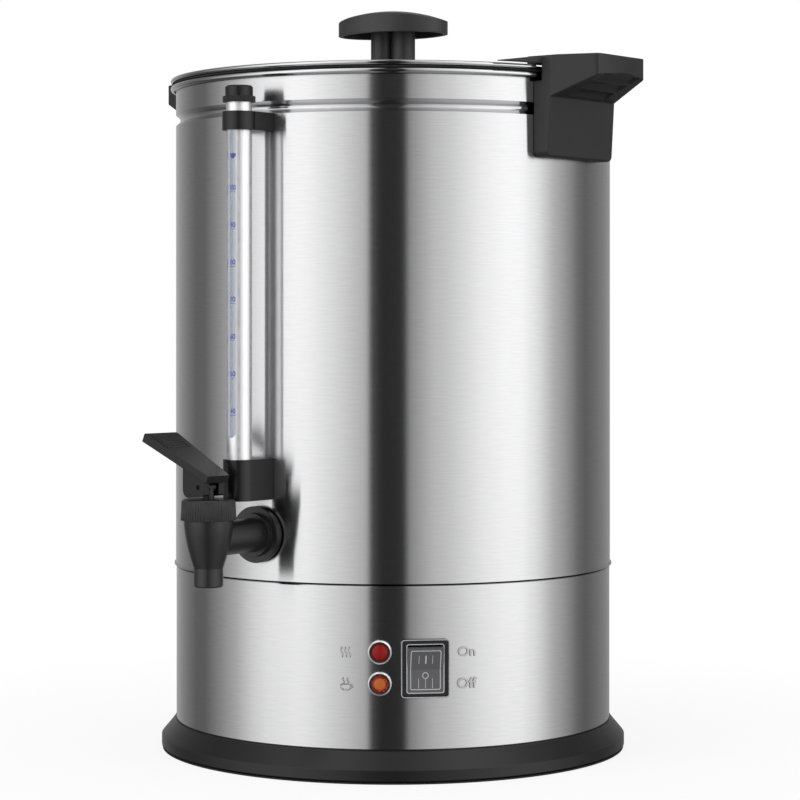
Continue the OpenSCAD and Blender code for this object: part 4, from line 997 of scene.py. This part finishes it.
# Light from round the urn: degrees from the camera's side, and how bright that direction is.
SOFT_BOXES = (
    (-180, 0.24),
    (-166, 0.28),
    (-150, 0.22),
    (-126, 0.11),
    (-116, 0.115),
    (-103, 0.25),
    (-90, 0.43),
    (-78, 0.72),
    (-68, 0.88),
    (-51, 0.98),
    (-44, 0.94),
    (-26, 0.67),
    (-13.2, 0.44),
    (-11.2, 0.06),
    (-6, 0.022),
    (4, 0.026),
    (6.2, 0.04),
    (8.2, 0.25),
    (12, 0.33),
    (21, 0.52),
    (29, 0.61),
    (47, 0.89),
    (60, 1),
    (70, 1),
    (80, 0.81),
    (92, 0.46),
    (105, 0.26),
    (113, 0.145),
    (121, 0.105),
    (146, 0.175),
    (180, 0.24),
)
world = bpy.data.worlds.new("studio")
scene.world = world
world.use_nodes = True
tree = world.node_tree
tree.nodes.clear()
way = put(tree, "TexCoord")
facing = put(
    tree, "Mapping", {"Vector": way.outputs["Generated"], "Rotation": (0, 0, -CAMERA_AZ)}
)
xyz = put(tree, "SeparateXYZ", {0: facing.outputs[0]}).outputs
front = put(tree, "Math", {0: xyz[1], 1: -1}, operation="MULTIPLY")
turn = put(tree, "Math", {0: xyz[0], 1: front.outputs[0]}, operation="ARCTAN2")
share = put(tree, "MapRange", {0: turn.outputs[0], 1: -math.pi, 2: math.pi})
boxes = put(tree, "ValToRGB", {0: share.outputs[0]})
ramp = boxes.color_ramp
for number, (degrees, level) in enumerate(SOFT_BOXES):
    spot = degrees / 360 + 0.5
    if number == 0:
        stop = ramp.elements[0]
    elif number == len(SOFT_BOXES) - 1:
        stop = ramp.elements[-1]
    else:
        stop = ramp.elements.new(spot)
    stop.position = spot
    stop.color = (level, level, level, 1)
# Low directions see the dark edge of the table that the urn stands on.
low = put(
    tree,
    "MapRange",
    {0: xyz[2], 1: -0.5, 2: -0.02, 3: TABLE_DARK},
    interpolation_type="SMOOTHSTEP",
)
lit = put(tree, "Math", {0: low.outputs[0], 1: BOX_LIGHT}, operation="MULTIPLY")
path = put(tree, "LightPath")
gloss = put(tree, "Background", {"Color": boxes.outputs[0], "Strength": lit.outputs[0]})
plain = put(tree, "Background", {"Color": linear("#fbfbfb"), "Strength": 0.65})
white = put(tree, "Background", {"Color": linear("#ffffff"), "Strength": 1})
mirrored = put(
    tree,
    "Math",
    {0: path.outputs["Is Glossy Ray"], 1: path.outputs["Is Transmission Ray"]},
    operation="MAXIMUM",
)
soft = put(tree, "MixShader", {0: mirrored.outputs[0], 1: plain.outputs[0], 2: gloss.outputs[0]})
whole = put(
    tree, "MixShader", {0: path.outputs["Is Camera Ray"], 1: soft.outputs[0], 2: white.outputs[0]}
)
put(tree, "OutputWorld", {"Surface": whole.outputs[0]})

# The camera's place, lens and shift were fitted to the urn's curves as photographed.
camera_data = bpy.data.cameras.new("camera")
camera_data.lens = 113.82
camera_data.sensor_width = 36
camera_data.shift_x = 0.00875
camera_data.shift_y = -0.1066
camera = bpy.data.objects.new("camera", camera_data)
scene.collection.objects.link(camera)
camera.location = (0.9957, -1.4167, 0.2927)
camera.rotation_euler = (math.radians(90), 0, CAMERA_AZ)
scene.camera = camera
scene.view_settings.view_transform = "Standard"
